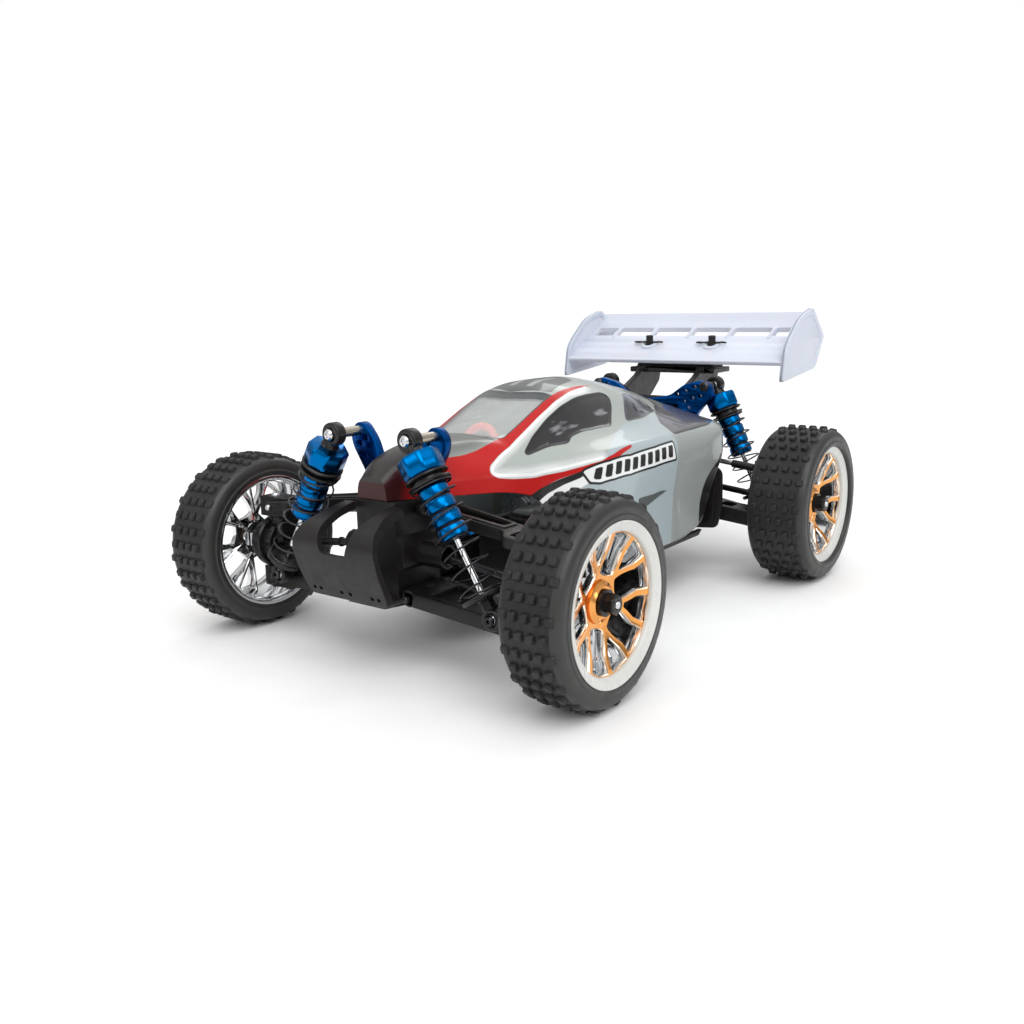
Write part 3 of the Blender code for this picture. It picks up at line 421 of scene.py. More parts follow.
def add_pin(part, place, angle, u, size):
    """One square rubber pin that stands on the carcass; edge pins lean over the shoulder."""
    wide, long, tall, lean = size
    lean = math.copysign(math.radians(lean), u)
    verts = []
    levels = [(-0.6, 1.25), (0.12, 1.14), (tall - 0.35, 1), (tall, 0.8)]
    for height, scale in levels:
        a, b = wide / 2 * scale, long / 2 * scale
        c = 0.28 * min(a, b)
        for sideways, around in [(a, -b + c), (a, b - c), (a - c, b), (-a + c, b), (-a, b - c), (-a, -b + c),
                                 (-a + c, -b), (a - c, -b)]:
            r = CARCASS_RADIUS + height * math.cos(lean) - sideways * math.sin(lean)
            theta = angle + around / CARCASS_RADIUS
            verts.append((r * math.cos(theta), r * math.sin(theta),
                          u + sideways * math.cos(lean) + height * math.sin(lean)))
    faces = ring_faces(8, len(levels)) + [tuple(range(24, 32)), tuple(range(8))[::-1]]
    part.add(verts, faces, place, 0)


HUB_RADIUS = 6.2
FORK_RADIUS = 9.6
RING_IN = 21.9
FACE_RADII = [HUB_RADIUS, 7.2, 8.4, FORK_RADIUS, 10.8, 12.2, 13.8, 15.4, 17, 18.6, 20.3, RING_IN]
SPOKES = 6
SPOKE_START = 12                        # angle of the first spoke, in degrees


def face_height(r):
    """Height of the wheel's dished spoke face at a radius."""
    return 4.2 + 4.6 * ((r - HUB_RADIUS) / (RING_IN - HUB_RADIUS)) ** 1.25


def arm_middle(arm, r):
    """Angle of an arm's middle, in degrees; an arm is its spoke's angle and the side that it turns to."""
    spoke, sense = arm
    return spoke + sense * 14.5 * min(max((r - FORK_RADIUS) / 7.5, 0), 1) ** 0.75


def arm_width(r):
    """Half an arm's width, which grows towards the rim and below the fork."""
    return 1.12 + 0.25 * (r - FORK_RADIUS) / (RING_IN - FORK_RADIUS) + 0.3 * max(FORK_RADIUS + 1.5 - r, 0)


def spoke_cell(left, right, radii, floor_radius):
    """Middles of the arms round an opening, and the opening's own edge, as matching (radius, angle) lists.

    Left and right are the arms on both sides; the opening starts at about floor_radius from the axle.
    """
    def edge(r, arm, sense):
        return arm_middle(arm, r) + sense * math.degrees(arm_width(r) / r)

    low, high, top = radii[0], radii[-1], radii[-1] - 0.5
    held = [min(max(r, floor_radius), top) for r in radii]
    shares = [i / 5 for i in range(1, 5)]
    border = [(r, arm_middle(left, r)) for r in radii]
    border += [(high, blend(arm_middle(left, high), arm_middle(right, high), t)) for t in shares]
    border += [(r, arm_middle(right, r)) for r in reversed(radii)]
    opening = [(r, edge(r, left, 1)) for r in held]
    opening += [(top, blend(edge(top, left, 1), edge(top, right, -1), t)) for t in shares]
    opening += [(r, edge(r, right, -1)) for r in reversed(held)]
    if left[0] != right[0]:
        border += [(low, blend(arm_middle(right, low), arm_middle(left, low), t)) for t in shares]
        ends = edge(floor_radius, right, -1), edge(floor_radius, left, 1)
        opening += [(floor_radius - 0.9 * math.sin(math.pi * t), blend(*ends, t)) for t in shares]
    return border, opening


def add_cell(part, place, border, opening):
    """Front, bright lip, wall and back of the spoke face round one opening."""
    lip = []
    for (border_r, border_a), (r, a) in zip(border, opening):
        gap = math.hypot(border_r - r, math.radians(border_a - a) * r)
        share = 0.38 / gap if gap > 0.35 else 0.8
        lip.append((blend(r, border_r, share), blend(a, border_a, share)))
    rings = [(border, 0), (lip, -0.12), (opening, 0.45), (opening, 2.6), (border, 3)]
    verts = [(r * math.cos(math.radians(a)), r * math.sin(math.radians(a)), face_height(r) - drop)
             for ring, drop in rings for r, a in ring]
    slots = [slot for slot in (0, 1, 2, 2) for _ in border]
    part.add(verts, ring_faces(len(border), len(rings)), place, slots)


def make_rim(corner, end, side):
    """Y spokes with openings, copper in front and chrome elsewhere, in a white ring and a chrome barrel."""
    part = Part(COPPER, EDGE, CHROME, WHITE)
    place = wheel_place(end, side)
    step = 360 / SPOKES
    for k in range(SPOKES):
        spoke = SPOKE_START + step * k
        fork_radii = [r for r in FACE_RADII if r >= FORK_RADIUS]
        add_cell(part, place, *spoke_cell((spoke, -1), (spoke, 1), fork_radii, 12.6))
        add_cell(part, place, *spoke_cell((spoke, 1), (spoke + step, -1), FACE_RADII, 9.2))
        for sign in (-1, 1):
            inner, outer = math.radians(spoke), math.radians(spoke + sign * 12)
            part.tube([(7 * math.cos(inner), 7 * math.sin(inner), 1.6),
                       (22.3 * math.cos(outer), 22.3 * math.sin(outer), 2.2)], 0.55, 2, 6, place)
    ring = [(RING_IN, 8.8), (RING_IN + 0.2, 9.9), (RING_IN + 0.6, 10.25), (25.1, 11.45), (25.5, 11.3),
            (25.5, 10.9), (24.55, 10.6), (24.55, 9), (RING_IN, 5.8)]
    part.lathe(fillet(ring, 0.3, 2), place, 96, 3, ring=True)
    barrel = [(24.55, 9.2), (24.55, -10.2), (25.3, -10.4), (25.3, -10.8), (24, -10.8), (23.4, -9.4),
              (22.6, -8.6), (22.4, 5.2), (21.4, 6.2)]
    part.lathe(fillet(barrel, 0.3, 2), place, 96, 2, ring=True)
    hub = [(2.4, 6), (5, 6), (5.6, 5.4), (6.6, 4.9), (6.6, 1), (6.6, -1.4), (2.4, -1.4)]
    part.lathe(hub, place, 48, [0, 0, 0, 0, 2, 2, 2], ring=True)
    part.stand_in(corner + "_rim", corner + "_wheel", "rim_chrome")


def make_axle(corner, end, side):
    part = Part(DARK_STEEL, STEEL, PLASTIC_SATIN)
    place = wheel_place(end, side)
    nut = [(0, 10.2), (1.5, 10.2), (1.5, 10.7), (2.6, 10.7), (3.3, 10.3), (3.4, 9.9), (3.4, 7.2), (4.2, 7),
           (4.2, 6.15), (0, 6.15)]
    part.lathe(nut, place, 48, 2, sides={4: 6, 5: 6, 6: 6})
    part.lathe([(0, 10.9), (1.1, 10.9), (1.3, 10.6), (1.3, 9.6), (0, 9.6)], place, 16, 1)
    cup = CUP_X[end] - WHEEL_X
    shaft = [(0, 7), (1.9, 7), (1.9, -1.9), (5.1, -1.9), (5.1, -4.4), (1.9, -4.4), (1.9, cup + 5),
             (5.4, cup + 4.7), (5.4, cup - 2.9), (4.6, cup - 2.9), (4.6, cup + 3.9), (0, cup + 3.9)]
    part.lathe(shaft, place, 48, 1, sides={3: 6, 4: 6})
    part.stand_in(corner + "_axle", corner + "_wheel", "steel")


# Shock absorbers ----------------------------------------------------------------------------------------
SHOCK_TOP = {"front": (17.5, 79.2), "rear": (28.5, 82)}
SHOCK_FOOT = {"front": (50.1, 25.3), "rear": (54.5, 25.5)}
SHOCK_Y = {"front": -98, "rear": 100}
INNER_PIN = {"front": (13, 25.5), "rear": (13, 29.5)}
SPRING_RADIUS = 6.8
SPRING_TOP = 16.1                       # from the shock's top eye down to the spring
SPRING_TURNS = 7.5
WIRE = 0.36


def rod_end(part, centre, radius, plastic, metal, thickness=4.2):
    """Moulded eye with its silver ball."""
    half = thickness / 2
    ring = fillet([(2.2, -half), (radius, -half), (radius, half), (2.2, half)], 0.7, 3)
    turn = Matrix.Translation(centre) @ Matrix.Rotation(math.pi / 2, 4, "X")
    part.lathe(ring, turn, 28, plastic, ring=True)
    ball = [(0.9, -2.3), (1.6, -2.2), (2.25, -1.3), (2.45, 0), (2.25, 1.3), (1.6, 2.2), (0.9, 2.3)]
    part.lathe(ball, turn, 20, metal, ring=True)


def make_shock(corner, end, side):
    top = Vector((side * SHOCK_TOP[end][0], SHOCK_Y[end], SHOCK_TOP[end][1]))
    foot = Vector((side * SHOCK_FOOT[end][0], SHOCK_Y[end], SHOCK_FOOT[end][1]))
    down, length = (foot - top).normalized(), (foot - top).length
    place, up = towards(down, top), towards(-down, foot)

    body = Part(BLUE, GROOVE_SHADE, PLASTIC_SATIN, STEEL)
    cap = [(0, 4.6), (2.9, 4.6), (6.7, 5.2), (7.25, 6), (7.25, 11.4), (6.5, 12.3), (0, 12.3)]
    body.lathe(cap, place, 48, 0, sides={i: 8 for i in range(2, 6)})
    collar = [(4, 12.4), (6.9, 12.4), (7.4, 12.8), (7.4, 13.3), (6.7, 13.7), (5.2, 13.9), (5.2, 14.8),
              (7.2, 15), (7.5, 15.4), (7.2, 15.9), (4, 16)]
    body.lathe(collar, place, 40, 2)
    bands = [(4, 15)]
    for k in range(4):
        z = SPRING_TOP + 4.75 * k
        bands += [(4.35, z), (4.9, z + 0.55), (5, z + 1.2), (5, z + 3.5), (4.85, z + 4.1), (4.3, z + 4.35)]
    bands += [(4.35, 35), (1.5, 35.2), (1.5, 15)]
    # Faces in the grooves take the near-black groove colour, which is painted shade.
    slots = [int(min(a[0], b[0]) < 4.5) for a, b in zip(bands, bands[1:] + bands[:1])]
    body.lathe(bands, place, 40, slots, ring=True)
    body.lathe([(0, 1.5), (2.7, 2), (2.9, 4), (3.4, 4.8), (0, 4.9)], place, 24, 2)
    rod_end(body, top, 4.1, 2, 3)
    body.stand_in(corner + "_shock_body", corner + "_shock_body", "blue_aluminium")

    lower = Part(PLASTIC_SATIN, CHROME, STEEL)
    lower.lathe([(0, 6), (1.05, 6), (1.05, length - 24.4), (0.7, length - 24), (0, length - 24)], up, 20, 1)
    cup = [(1.3, 6.2), (2.5, 6.2), (3.4, 6.9), (7, 6.9), (7.4, 7.3), (7.4, 8.3), (7.1, 8.6), (6.4, 8.6),
           (6, 8), (1.3, 8)]
    lower.lathe(fillet(cup, 0.2, 2), up, 40, 0, ring=True)
    lower.lathe([(0, 2.6), (2.3, 2.6), (2.6, 3.6), (2.4, 6.4), (0, 6.4)], up, 24, 0, sides={2: 6, 3: 6})
    rod_end(lower, foot, 3.7, 0, 2)
    lower.stand_in(corner + "_shock_rod", corner + "_shock_rod", "steel")

    coil = Part(DARK_STEEL)
    low, high = 8.75 + WIRE, length - SPRING_TOP - WIRE
    steps = int(SPRING_TURNS * 20)
    path = []
    for i in range(steps + 1):
        rise = min(max((i / steps - 0.09) / 0.82, 0), 1)
        angle = 2 * math.pi * SPRING_TURNS * i / steps
        x, y = SPRING_RADIUS * math.cos(angle), SPRING_RADIUS * math.sin(angle)
        path.append((x, y, blend(low, high, rise)))
    coil.tube(path, WIRE, matrix=up)
    spring = coil.stand_in(corner + "_spring", corner + "_shock_body", "spring_steel", 80)
    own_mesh(spring)


# Suspension arms and uprights ---------------------------------------------------------------------------
DROOP = 5.5
REACH = {"front": 46, "rear": 47}
UPPER_PIN_Z = 54


def arm_place(end, side, pin_z):
    """Arm frame: local X leads outward along the arm from its inner pin, Y away from the car's middle."""
    lead = Vector((side * REACH[end], 0, -DROOP)).normalized()
    out = Vector((0, OUT[end], 0))
    turn = Matrix((lead, out, lead.cross(out))).transposed().to_4x4()
    return Matrix.Translation((side * INNER_PIN[end][0], AXLE[end], pin_z)) @ turn


def fork(reach, high, low_waist, high_waist):
    """Outline of an arm that ends in a fork round the upright."""
    low, finger, gap = -10.5, 7.4, 4.4
    return [(-3, low), (3, low), (reach - 8, low_waist), (reach + 3, -finger), (reach + 3, -gap),
            (reach - 7.7, -gap), (reach - 7.7, gap), (reach + 3, gap), (reach + 3, finger),
            (reach - 8, finger), (reach - 12, high_waist), (3, high), (-3, high)]


def make_lower_arm(corner, end, side):
    reach = math.hypot(REACH[end], DROOP)
    high_waist, thick = {"front": (7.6, 5), "rear": (4.6, 6.4)}[end]
    outline = fillet(fork(reach, 10.5, -7.6, high_waist), [1.4, 1, 3, 2, 0.8, 1, 1, 0.8, 2, 3, 3, 1, 1.4], 3)
    place = arm_place(end, side, INNER_PIN[end][1])
    windows = [fillet(window, 1.2, 3) for window in (
        [(7, -7.2), (15, -6.2), (15, 6.2), (7, 7.2)], [(17.2, -5.9), (25, -4.9), (25, 3.6), (17.2, 4.6)],
        [(27.2, -4.6), (33, -4), (33, 2.6), (27.2, 3.2)])]
    part = Part(PLASTIC, DARK_STEEL, STEEL)
    part.plate([outline] + windows, thick, place, 0, 0.45)
    part.plate([fillet([(5, -8.2), (34, -4.6), (34, 3.2), (5, 8.2)], 1, 3)], 1.2, place, 0, 0.2)
    for y in (-8.6, 0, 8.6):
        part.rod((0, y - 1.9, 0), (0, y + 1.9, 0), thick / 2 + 0.45, 0, 0.4, 20, place)
    for x, y in ((0, 11.4), (reach, 8.1)):
        part.rod((x, -y, 0), (x, y, 0), 1.25, 1, 0.3, 14, place)
    for y in (-11.6, 11.6):
        part.ball((0, y, 0), 1.3, 1, place)
    x, z = side * SHOCK_FOOT[end][0], SHOCK_FOOT[end][1]
    start, stop = AXLE[end] + OUT[end] * 5.2, SHOCK_Y[end] - OUT[end] * 2.5
    part.rod((x, start, z), (x, stop, z), 2.7, 0, 0.3)
    part.rod((x, stop, z), (x, stop + OUT[end] * 5, z), 1, 2, 0.2)
    part.screw((x, stop + OUT[end] * 4.75, z), (0, OUT[end], 0), 1.7, 1, 1.1)
    part.stand_in(corner + "_lower_arm", corner + "_arm", "black_plastic")


def make_upper_arm(corner, end, side):
    reach = math.hypot(REACH[end], DROOP)
    outline = fillet(fork(reach, 1.8, -7.6, 1.8), [1.4, 1, 3, 2, 0.8, 1, 1, 0.8, 2, 1.5, 2, 0.6, 0.6], 3)
    window = fillet([(5.6, -8), (5.6, -0.9), (32.5, -0.9), (32.5, -5.6)], 1.6, 4)
    collar = fillet([(4.4, -9.2), (4.4, 0.9), (34, 0.9), (34, -6.6)], 1, 3)
    place = arm_place(end, side, UPPER_PIN_Z)
    part = Part(PLASTIC, DARK_STEEL, STEEL)
    part.plate([outline, window], 3.8, place, 0, 0.5)
    part.plate([collar, window], 4.9, place, 0, 0.3)
    part.rod((0, -11, 0), (0, 2.4, 0), 1.2, 1, 0.3, 14, place)
    part.rod((reach, -8, 0), (reach, 8, 0), 1.2, 1, 0.3, 14, place)
    for y in (-8, 8):
        part.ball((reach, y, 0), 1.25, 2, place)
    part.stand_in(corner + "_upper_arm", corner + "_upper", "black_plastic")


def make_upper_link(corner, end, side):
    inner = Vector((side * INNER_PIN[end][0], AXLE[end] - 6.6, 53))
    outer = inner + Vector((side * REACH[end], 0, -DROOP))
    lead = (outer - inner).normalized()
    part = Part(PLASTIC_SATIN, STEEL)
    part.rod(inner + lead * 9, outer - lead * 9, 1.1, 1, 0.2, 14)
    for eye, sense in ((inner, 1), (outer, -1)):
        rod_end(part, eye, 3, 0, 1, 3.6)
        part.rod(eye + lead * sense * 2.4, eye + lead * sense * 13, 1.75, 0, 0.3, 16)
    part.stand_in(corner + "_upper_link", corner + "_upper", "black_plastic")


def make_drive_shaft(corner, end, side):
    outer = Vector((side * CUP_X[end], AXLE[end], WHEEL_Z))
    inner = outer - Vector((side * REACH[end], 0, -DROOP))
    length = (outer - inner).length
    part = Part(DARK_STEEL, PLASTIC)
    place = towards(outer - inner, inner)
    part.rod((0, 0, 0.8), (0, 0, length - 0.8), 1.4, 0, 0.2, 18, place)
    for z in (0, length):
        part.ball((0, 0, z), 2.2, 0, place)
    for z, inside, outside in ((10.2, 1.35, 1.8), (length - 4.6, 1.4, 1.9)):
        band = [(inside, z), (outside, z + 0.3), (outside, z + 1.1), (inside, z + 1.4)]
        part.lathe(band, place, 18, 1)
    part.stand_in(corner + "_drive_shaft", corner + "_drive", "steel")


def add_screws(name, body, spots):
    """One riding piece with the screw heads of a body; each spot is a centre, a direction and a radius."""
    part = Part(STEEL)
    for spot in spots:
        part.screw(*spot)
    part.finished(name, body, "steel")


def make_upright(corner, end, side):
    hub, knuckle = corner + "_hub", corner + "_knuckle"
    x, y = side * CUP_X[end], AXLE[end]
    if end == "rear":
        softened(corner + "_hub_carrier", hub, PLASTIC, 0.5)
        spots = [((side * 60, y + 3.9, z), (0, 1, 0), radius) for z, radius in ((24, 1.5), (47.5, 1.6))]
        add_screws(corner + "_hub_screws", hub, spots)
        return
    softened(corner + "_steering_hub", hub, PLASTIC, 0.6)
    softened(knuckle, knuckle, PLASTIC_SATIN, 0.4)
    add_screws(corner + "_kingpins", hub, [((x, y, 51.3), (0, 0, 1), 1.7), ((x, y, 16.7), (0, 0, -1), 1.7)])
    shield = Part(PLASTIC_SATIN)
    profile = [(5.6, -13.4), (9.2, -13.2), (9.8, -12.6), (9.8, -10.6), (9.2, -10), (5.6, -9.8)]
    shield.lathe(profile, wheel_place(end, side), 40, ring=True)
    shield.finished(corner + "_bearing_shield", knuckle, "black_plastic")
    add_screws(corner + "_ball_stud", knuckle, [((x, y + 15, 37.6), (0, 0, -1), 1.6)])


for corner, end, side in CORNERS:
    make_upper = make_upper_arm if end == "front" else make_upper_link
    for make in (make_tyre, make_rim, make_axle, make_shock, make_lower_arm, make_upper, make_drive_shaft,
                 make_upright):
        make(corner, end, side)


# Towers, bumper and frame -------------------------------------------------------------------------------
TOWER_THICKNESS = 3.5
TOWER_Y = {"front": -84.25, "rear": 90.25}


def make_tower(end, outline, cutouts, spots, pin_start, materials):
    """Blue plate with pairs of holes, and the stand-off, pin and screws that carry each shock absorber."""
    part = Part(*materials)
    middle, out, y = TOWER_Y[end], OUT[end], SHOCK_Y[end]
    holes = [circle(side * x, z, 0.95, 12) for x, z in spots for side in (1, -1)]
    part.plate([outline] + holes + cutouts, TOWER_THICKNESS, across(middle), 0, 0.35)
    for side in SIDES.values():
        x, z = side * SHOCK_TOP[end][0], SHOCK_TOP[end][1]
        part.rod((x, middle, z), (x, y - out * 2.5, z), 1.75, 1, 0.3)
        part.rod((x, pin_start, z), (x, y + out * 3, z), 0.95, 2, 0.2, 14)
        part.screw((x, y + out * 2.2, z), (0, out, 0), 2, 2)
        part.screw((x, middle - out * 1.7, z), (0, -out, 0), 2.4, len(materials) - 1, 1.4)
    part.stand_in(end + "_shock_tower", "chassis", "blue_aluminium")


def make_towers():
    half = [(10, 58.5), (14, 62), (21.5, 74), (22, 78.5), (19, 82), (15.5, 82), (11, 76.5), (7.5, 67),
            (5, 63.5)]
    corners = [1, 1.5, 3, 2.2, 1.6, 1.6, 2.5, 2.5, 1.5]
    make_tower("front", fillet(mirrored(half), corners + corners[::-1]), [],
               [(12.5, 66), (15.6, 70.4), (17.4, 74.6), (14.6, 76.6)], -96, (BLUE_DEEP, BRASS, STEEL))
    half = [(0, 75.5), (11, 77.5), (18, 82.6), (27, 85), (31.5, 83), (32.8, 78), (28, 73), (24.5, 68.5),
            (22.5, 64), (11, 58.5)]
    spots = [(14.5, 78), (19, 79.6), (23.6, 81.6), (14, 72.4), (18.6, 74.6), (22.6, 76.4), (26.4, 77.6),
             (12, 66.6), (17, 69), (20.6, 71.8)]
    cutout = fillet([(-6.5, 64), (6.5, 64), (5, 71), (-5, 71)], 2)
    make_tower("rear", fillet(mirrored(half), 2.2), [cutout], spots, 97,
               (BLUE_DEEP, BRASS, STEEL, DARK_STEEL))


def apply_boolean(obj, part, operation):
    """Trims an object by the shape of a part that is then thrown away."""
    tool = part.finished("cutter", "chassis")
    tool.parent = None
    tool.matrix_world = HERE
    modifier = obj.modifiers.new("boolean", "BOOLEAN")
    modifier.operation = operation
    modifier.solver = "EXACT"
    modifier.object = tool
    mesh = bpy.data.meshes.new_from_object(obj.evaluated_get(bpy.context.evaluated_depsgraph_get()))
    obj.modifiers.clear()
    obj.data = mesh
    bpy.data.objects.remove(tool)


def make_bumper():
    """Bent front plate, trimmed to its front outline with a U notch between two ears."""
    bent = [(-98.4, 57), (-107, 55.4), (-115.8, 51.6), (-118.8, 46.5), (-117.2, 38.5), (-111.6, 26.2),
            (-104.6, 26.2), (-104.6, 28.6), (-109.6, 28.6), (-115.4, 39), (-116.6, 46), (-114.4, 49.6),
            (-106.4, 53), (-98.4, 54.4)]
    bent = fillet(bent, [0.6, 4, 3, 3, 6, 1, 0.5, 0.5, 1, 6, 2.4, 2.4, 3, 0.5])
    part = Part(PLASTIC)
    part.plate([bent], 42, along(0), 0, 0.05)
    obj = part.stand_in("front_bumper", "chassis", "black_plastic", 30)
    half = [(0, 43), (5.4, 43.2), (6.2, 45.2), (7.2, 48.6), (8.6, 56), (9, 60), (12.4, 60), (13, 55.6),
            (16.4, 52.2), (18.4, 47.8), (19, 43), (18.8, 33), (18, 27.6), (14.6, 24.4), (0, 24)]
    front = Part(PLASTIC)
    front.plate([fillet(mirrored(half), 1, 3)], 40, across(-112), 0, 0.05)
    apply_boolean(obj, front, "INTERSECT")
    holes = Part(PLASTIC)
    for x in (-15, -12, -2, 2, 12, 15):
        holes.rod((x, -125, 29.3), (x, -100, 29.3), 0.75, 0, 0.05, 12)
    apply_boolean(obj, holes, "DIFFERENCE")
    shade(obj.data, 35)
    add_bevel(obj, 0.35)


make_towers()
make_bumper()
for node, body, material, finish, bevel in (
        ("chassis_plate", "chassis", PLASTIC, "black_plastic", 0.4),
        ("front_gearbox", "chassis", PLASTIC, "black_plastic", 0.7),
        ("rear_gearbox", "chassis", PLASTIC, "black_plastic", 0.7),
        ("wing_mount", "chassis", PLASTIC_SATIN, "black_plastic", 0.5),
        ("motor", "chassis", MOTOR_CAN, "steel", 0.4),
        ("battery_pack", "chassis", WRAP, "battery_wrap", 0.4),
        ("steering_servo", "chassis", PLASTIC_SATIN, "black_plastic", 0.3),
        ("servo_horn", "horn", PLASTIC, "black_plastic", 0.2),
        ("steering_link", "link", BLUE, "blue_aluminium", 0.2),
        ("spur_gear", "spur", PLASTIC, "gear_plastic", 0.08),
        ("motor_pinion", "pinion", BRASS, "steel", 0.08),
        ("tie_rod_left", "tie_left", STEEL, "steel", 0.2),
        ("tie_rod_right", "tie_right", STEEL, "steel", 0.2)):
    softened(node, body, material, bevel)


# Body shell ---------------------------------------------------------------------------------------------
# Each row: y, crest height, then (half width, height) of the roof edge, window sill, shoulder and skirt.
STATIONS = np.array([
    (-99, 66.3, 4, 65.8, 5.6, 64.3, 6.4, 62.2, 6.8, 58.4),
    (-92, 71.6, 5, 70.9, 8, 68, 9.4, 63.4, 10, 58.3),
    (-84, 74.2, 6.2, 73.2, 10.2, 69.2, 13, 63.8, 14, 58.2),
    (-74, 75.2, 8.2, 74.2, 12.8, 69.8, 17.2, 64.2, 18.8, 57.6),
    (-62, 75.2, 10.6, 74.2, 15.6, 69.8, 22.4, 64.6, 24.4, 57),
    (-50, 74.9, 15.6, 73.8, 24, 68.8, 29.4, 64.8, 31, 54.4),
    (-44, 77.2, 16.3, 76.2, 27, 69.3, 33.4, 65, 35, 46),
    (-38, 80, 16.8, 78.9, 29.4, 70, 37, 65.2, 38.6, 35),
    (-26, 86.2, 17.4, 84.4, 32.2, 70.9, 42.2, 65.4, 43.6, 24.5),
    (-16, 90.2, 18.2, 87.7, 33, 71.4, 44.8, 65.5, 45.6, 24),
    (-6, 92.3, 18.6, 88.7, 33, 71.8, 45.8, 65.6, 46.2, 24),
    (10, 92.6, 19, 87.9, 32, 72.2, 46.5, 65.8, 46.5, 24),
    (30, 90, 18, 85, 29, 72.6, 46.8, 66.2, 46.8, 24),
    (50, 86, 15, 81, 24, 73.5, 46.5, 67, 46.5, 27),
    (62, 83, 13, 78.5, 21, 73.5, 46, 67.8, 46.2, 42),
    (72, 80, 11.5, 76.5, 19, 73, 45, 68, 45.5, 52),
    (82, 76.5, 11, 74.5, 18, 72.2, 40.5, 67, 41.5, 60),
    (87.8, 74.5, 10.5, 73, 17, 71.2, 37, 66.2, 38, 61),
])
ROUNDING = [0.5, 0.42, 0.38, 0.36]      # share of each neighbouring side that rounds a section's corner
PER_SIDE = [18, 30, 34, 30]             # columns between one section corner and the next
ROW_STEP = 0.65
SHELL_THICKNESS = 0.8
SLOT_Y = (-86.6, -81.9)                 # slots in the nose that the shock tower's ears stand through
SLOT_X = 5


def steady(xs, ys, at):
    """Smooth curve through points that never overshoots between two of them."""
    step = np.diff(xs)
    slope = np.diff(ys) / step
    tangent = np.zeros(len(xs))
    for i in range(1, len(xs) - 1):
        if slope[i - 1] * slope[i] > 0:
            a, b = 2 * step[i] + step[i - 1], step[i] + 2 * step[i - 1]
            tangent[i] = (a + b) / (a / slope[i - 1] + b / slope[i])
    tangent[0], tangent[-1] = slope[0], slope[-1]
    k = np.clip(np.searchsorted(xs, at) - 1, 0, len(xs) - 2)
    t = (at - xs[k]) / step[k]
    return ((1 + 2 * t) * (1 - t) ** 2 * ys[k] + t * (1 - t) ** 2 * step[k] * tangent[k]
            + t * t * (3 - 2 * t) * ys[k + 1] + t * t * (t - 1) * step[k] * tangent[k + 1])


def section_point(corners, t):
    """The (x, z) point of a half section at t, where whole numbers are its corners, which are rounded."""
    i = round(t)
    if i < 4 and abs(t - i) < ROUNDING[i]:
        here, share = corners[i], ROUNDING[i]
        before = corners[i - 1] if i else corners[1] * (-1, 1)
        w = (t - i + share) / (2 * share)
        a, b = blend(here, before, share), blend(here, corners[i + 1], share)
        return a * (1 - w) ** 2 + 2 * here * w * (1 - w) + b * w * w
    low = min(int(t), 3)
    return blend(corners[low], corners[low + 1], t - low)


def shell_grid():
    """Rows of (x, y, z) over the left half of the shell, from its crest down to its skirt."""
    ys = np.arange(STATIONS[0, 0], STATIONS[-1, 0] + 0.01, ROW_STEP)
    ys[-1] = STATIONS[-1, 0]
    columns = [steady(STATIONS[:, 0], STATIONS[:, c], ys) for c in range(1, STATIONS.shape[1])]
    ts = [0] + [side + (i + 1) / count for side, count in enumerate(PER_SIDE) for i in range(count)]
    grid = np.zeros((len(ys), len(ts), 3))
    for row, values in enumerate(zip(*columns)):
        corners = np.array((0, *values)).reshape(-1, 2)
        grid[row, :, 1] = ys[row]
        grid[row, :, ::2] = [section_point(corners, t) for t in ts]
    return grid


def girth(grid):
    """Distance round the section from the crest, for each point of the grid."""
    steps = np.linalg.norm(np.diff(grid, axis=1), axis=2)
    return np.concatenate([np.zeros((len(grid), 1)), np.cumsum(steps, axis=1)], axis=1)


# Shell paint --------------------------------------------------------------------------------------------
def doubled(half):
    """A line over the crest from its half on one side, listed from one end to the other."""
    return half + [(y, -g) for y, g in reversed(half) if g]


BADGE_TOP = [(-31, 48.6), (-24.5, 50.6), (-18, 52.9), (-4.9, 54.8), (13.5, 54.2), (28.5, 52.2)]
BADGE_BASE = [(-28.5, 54), (-24, 57), (-17, 59.4), (-6.7, 61), (11, 60.8), (27.9, 59)]
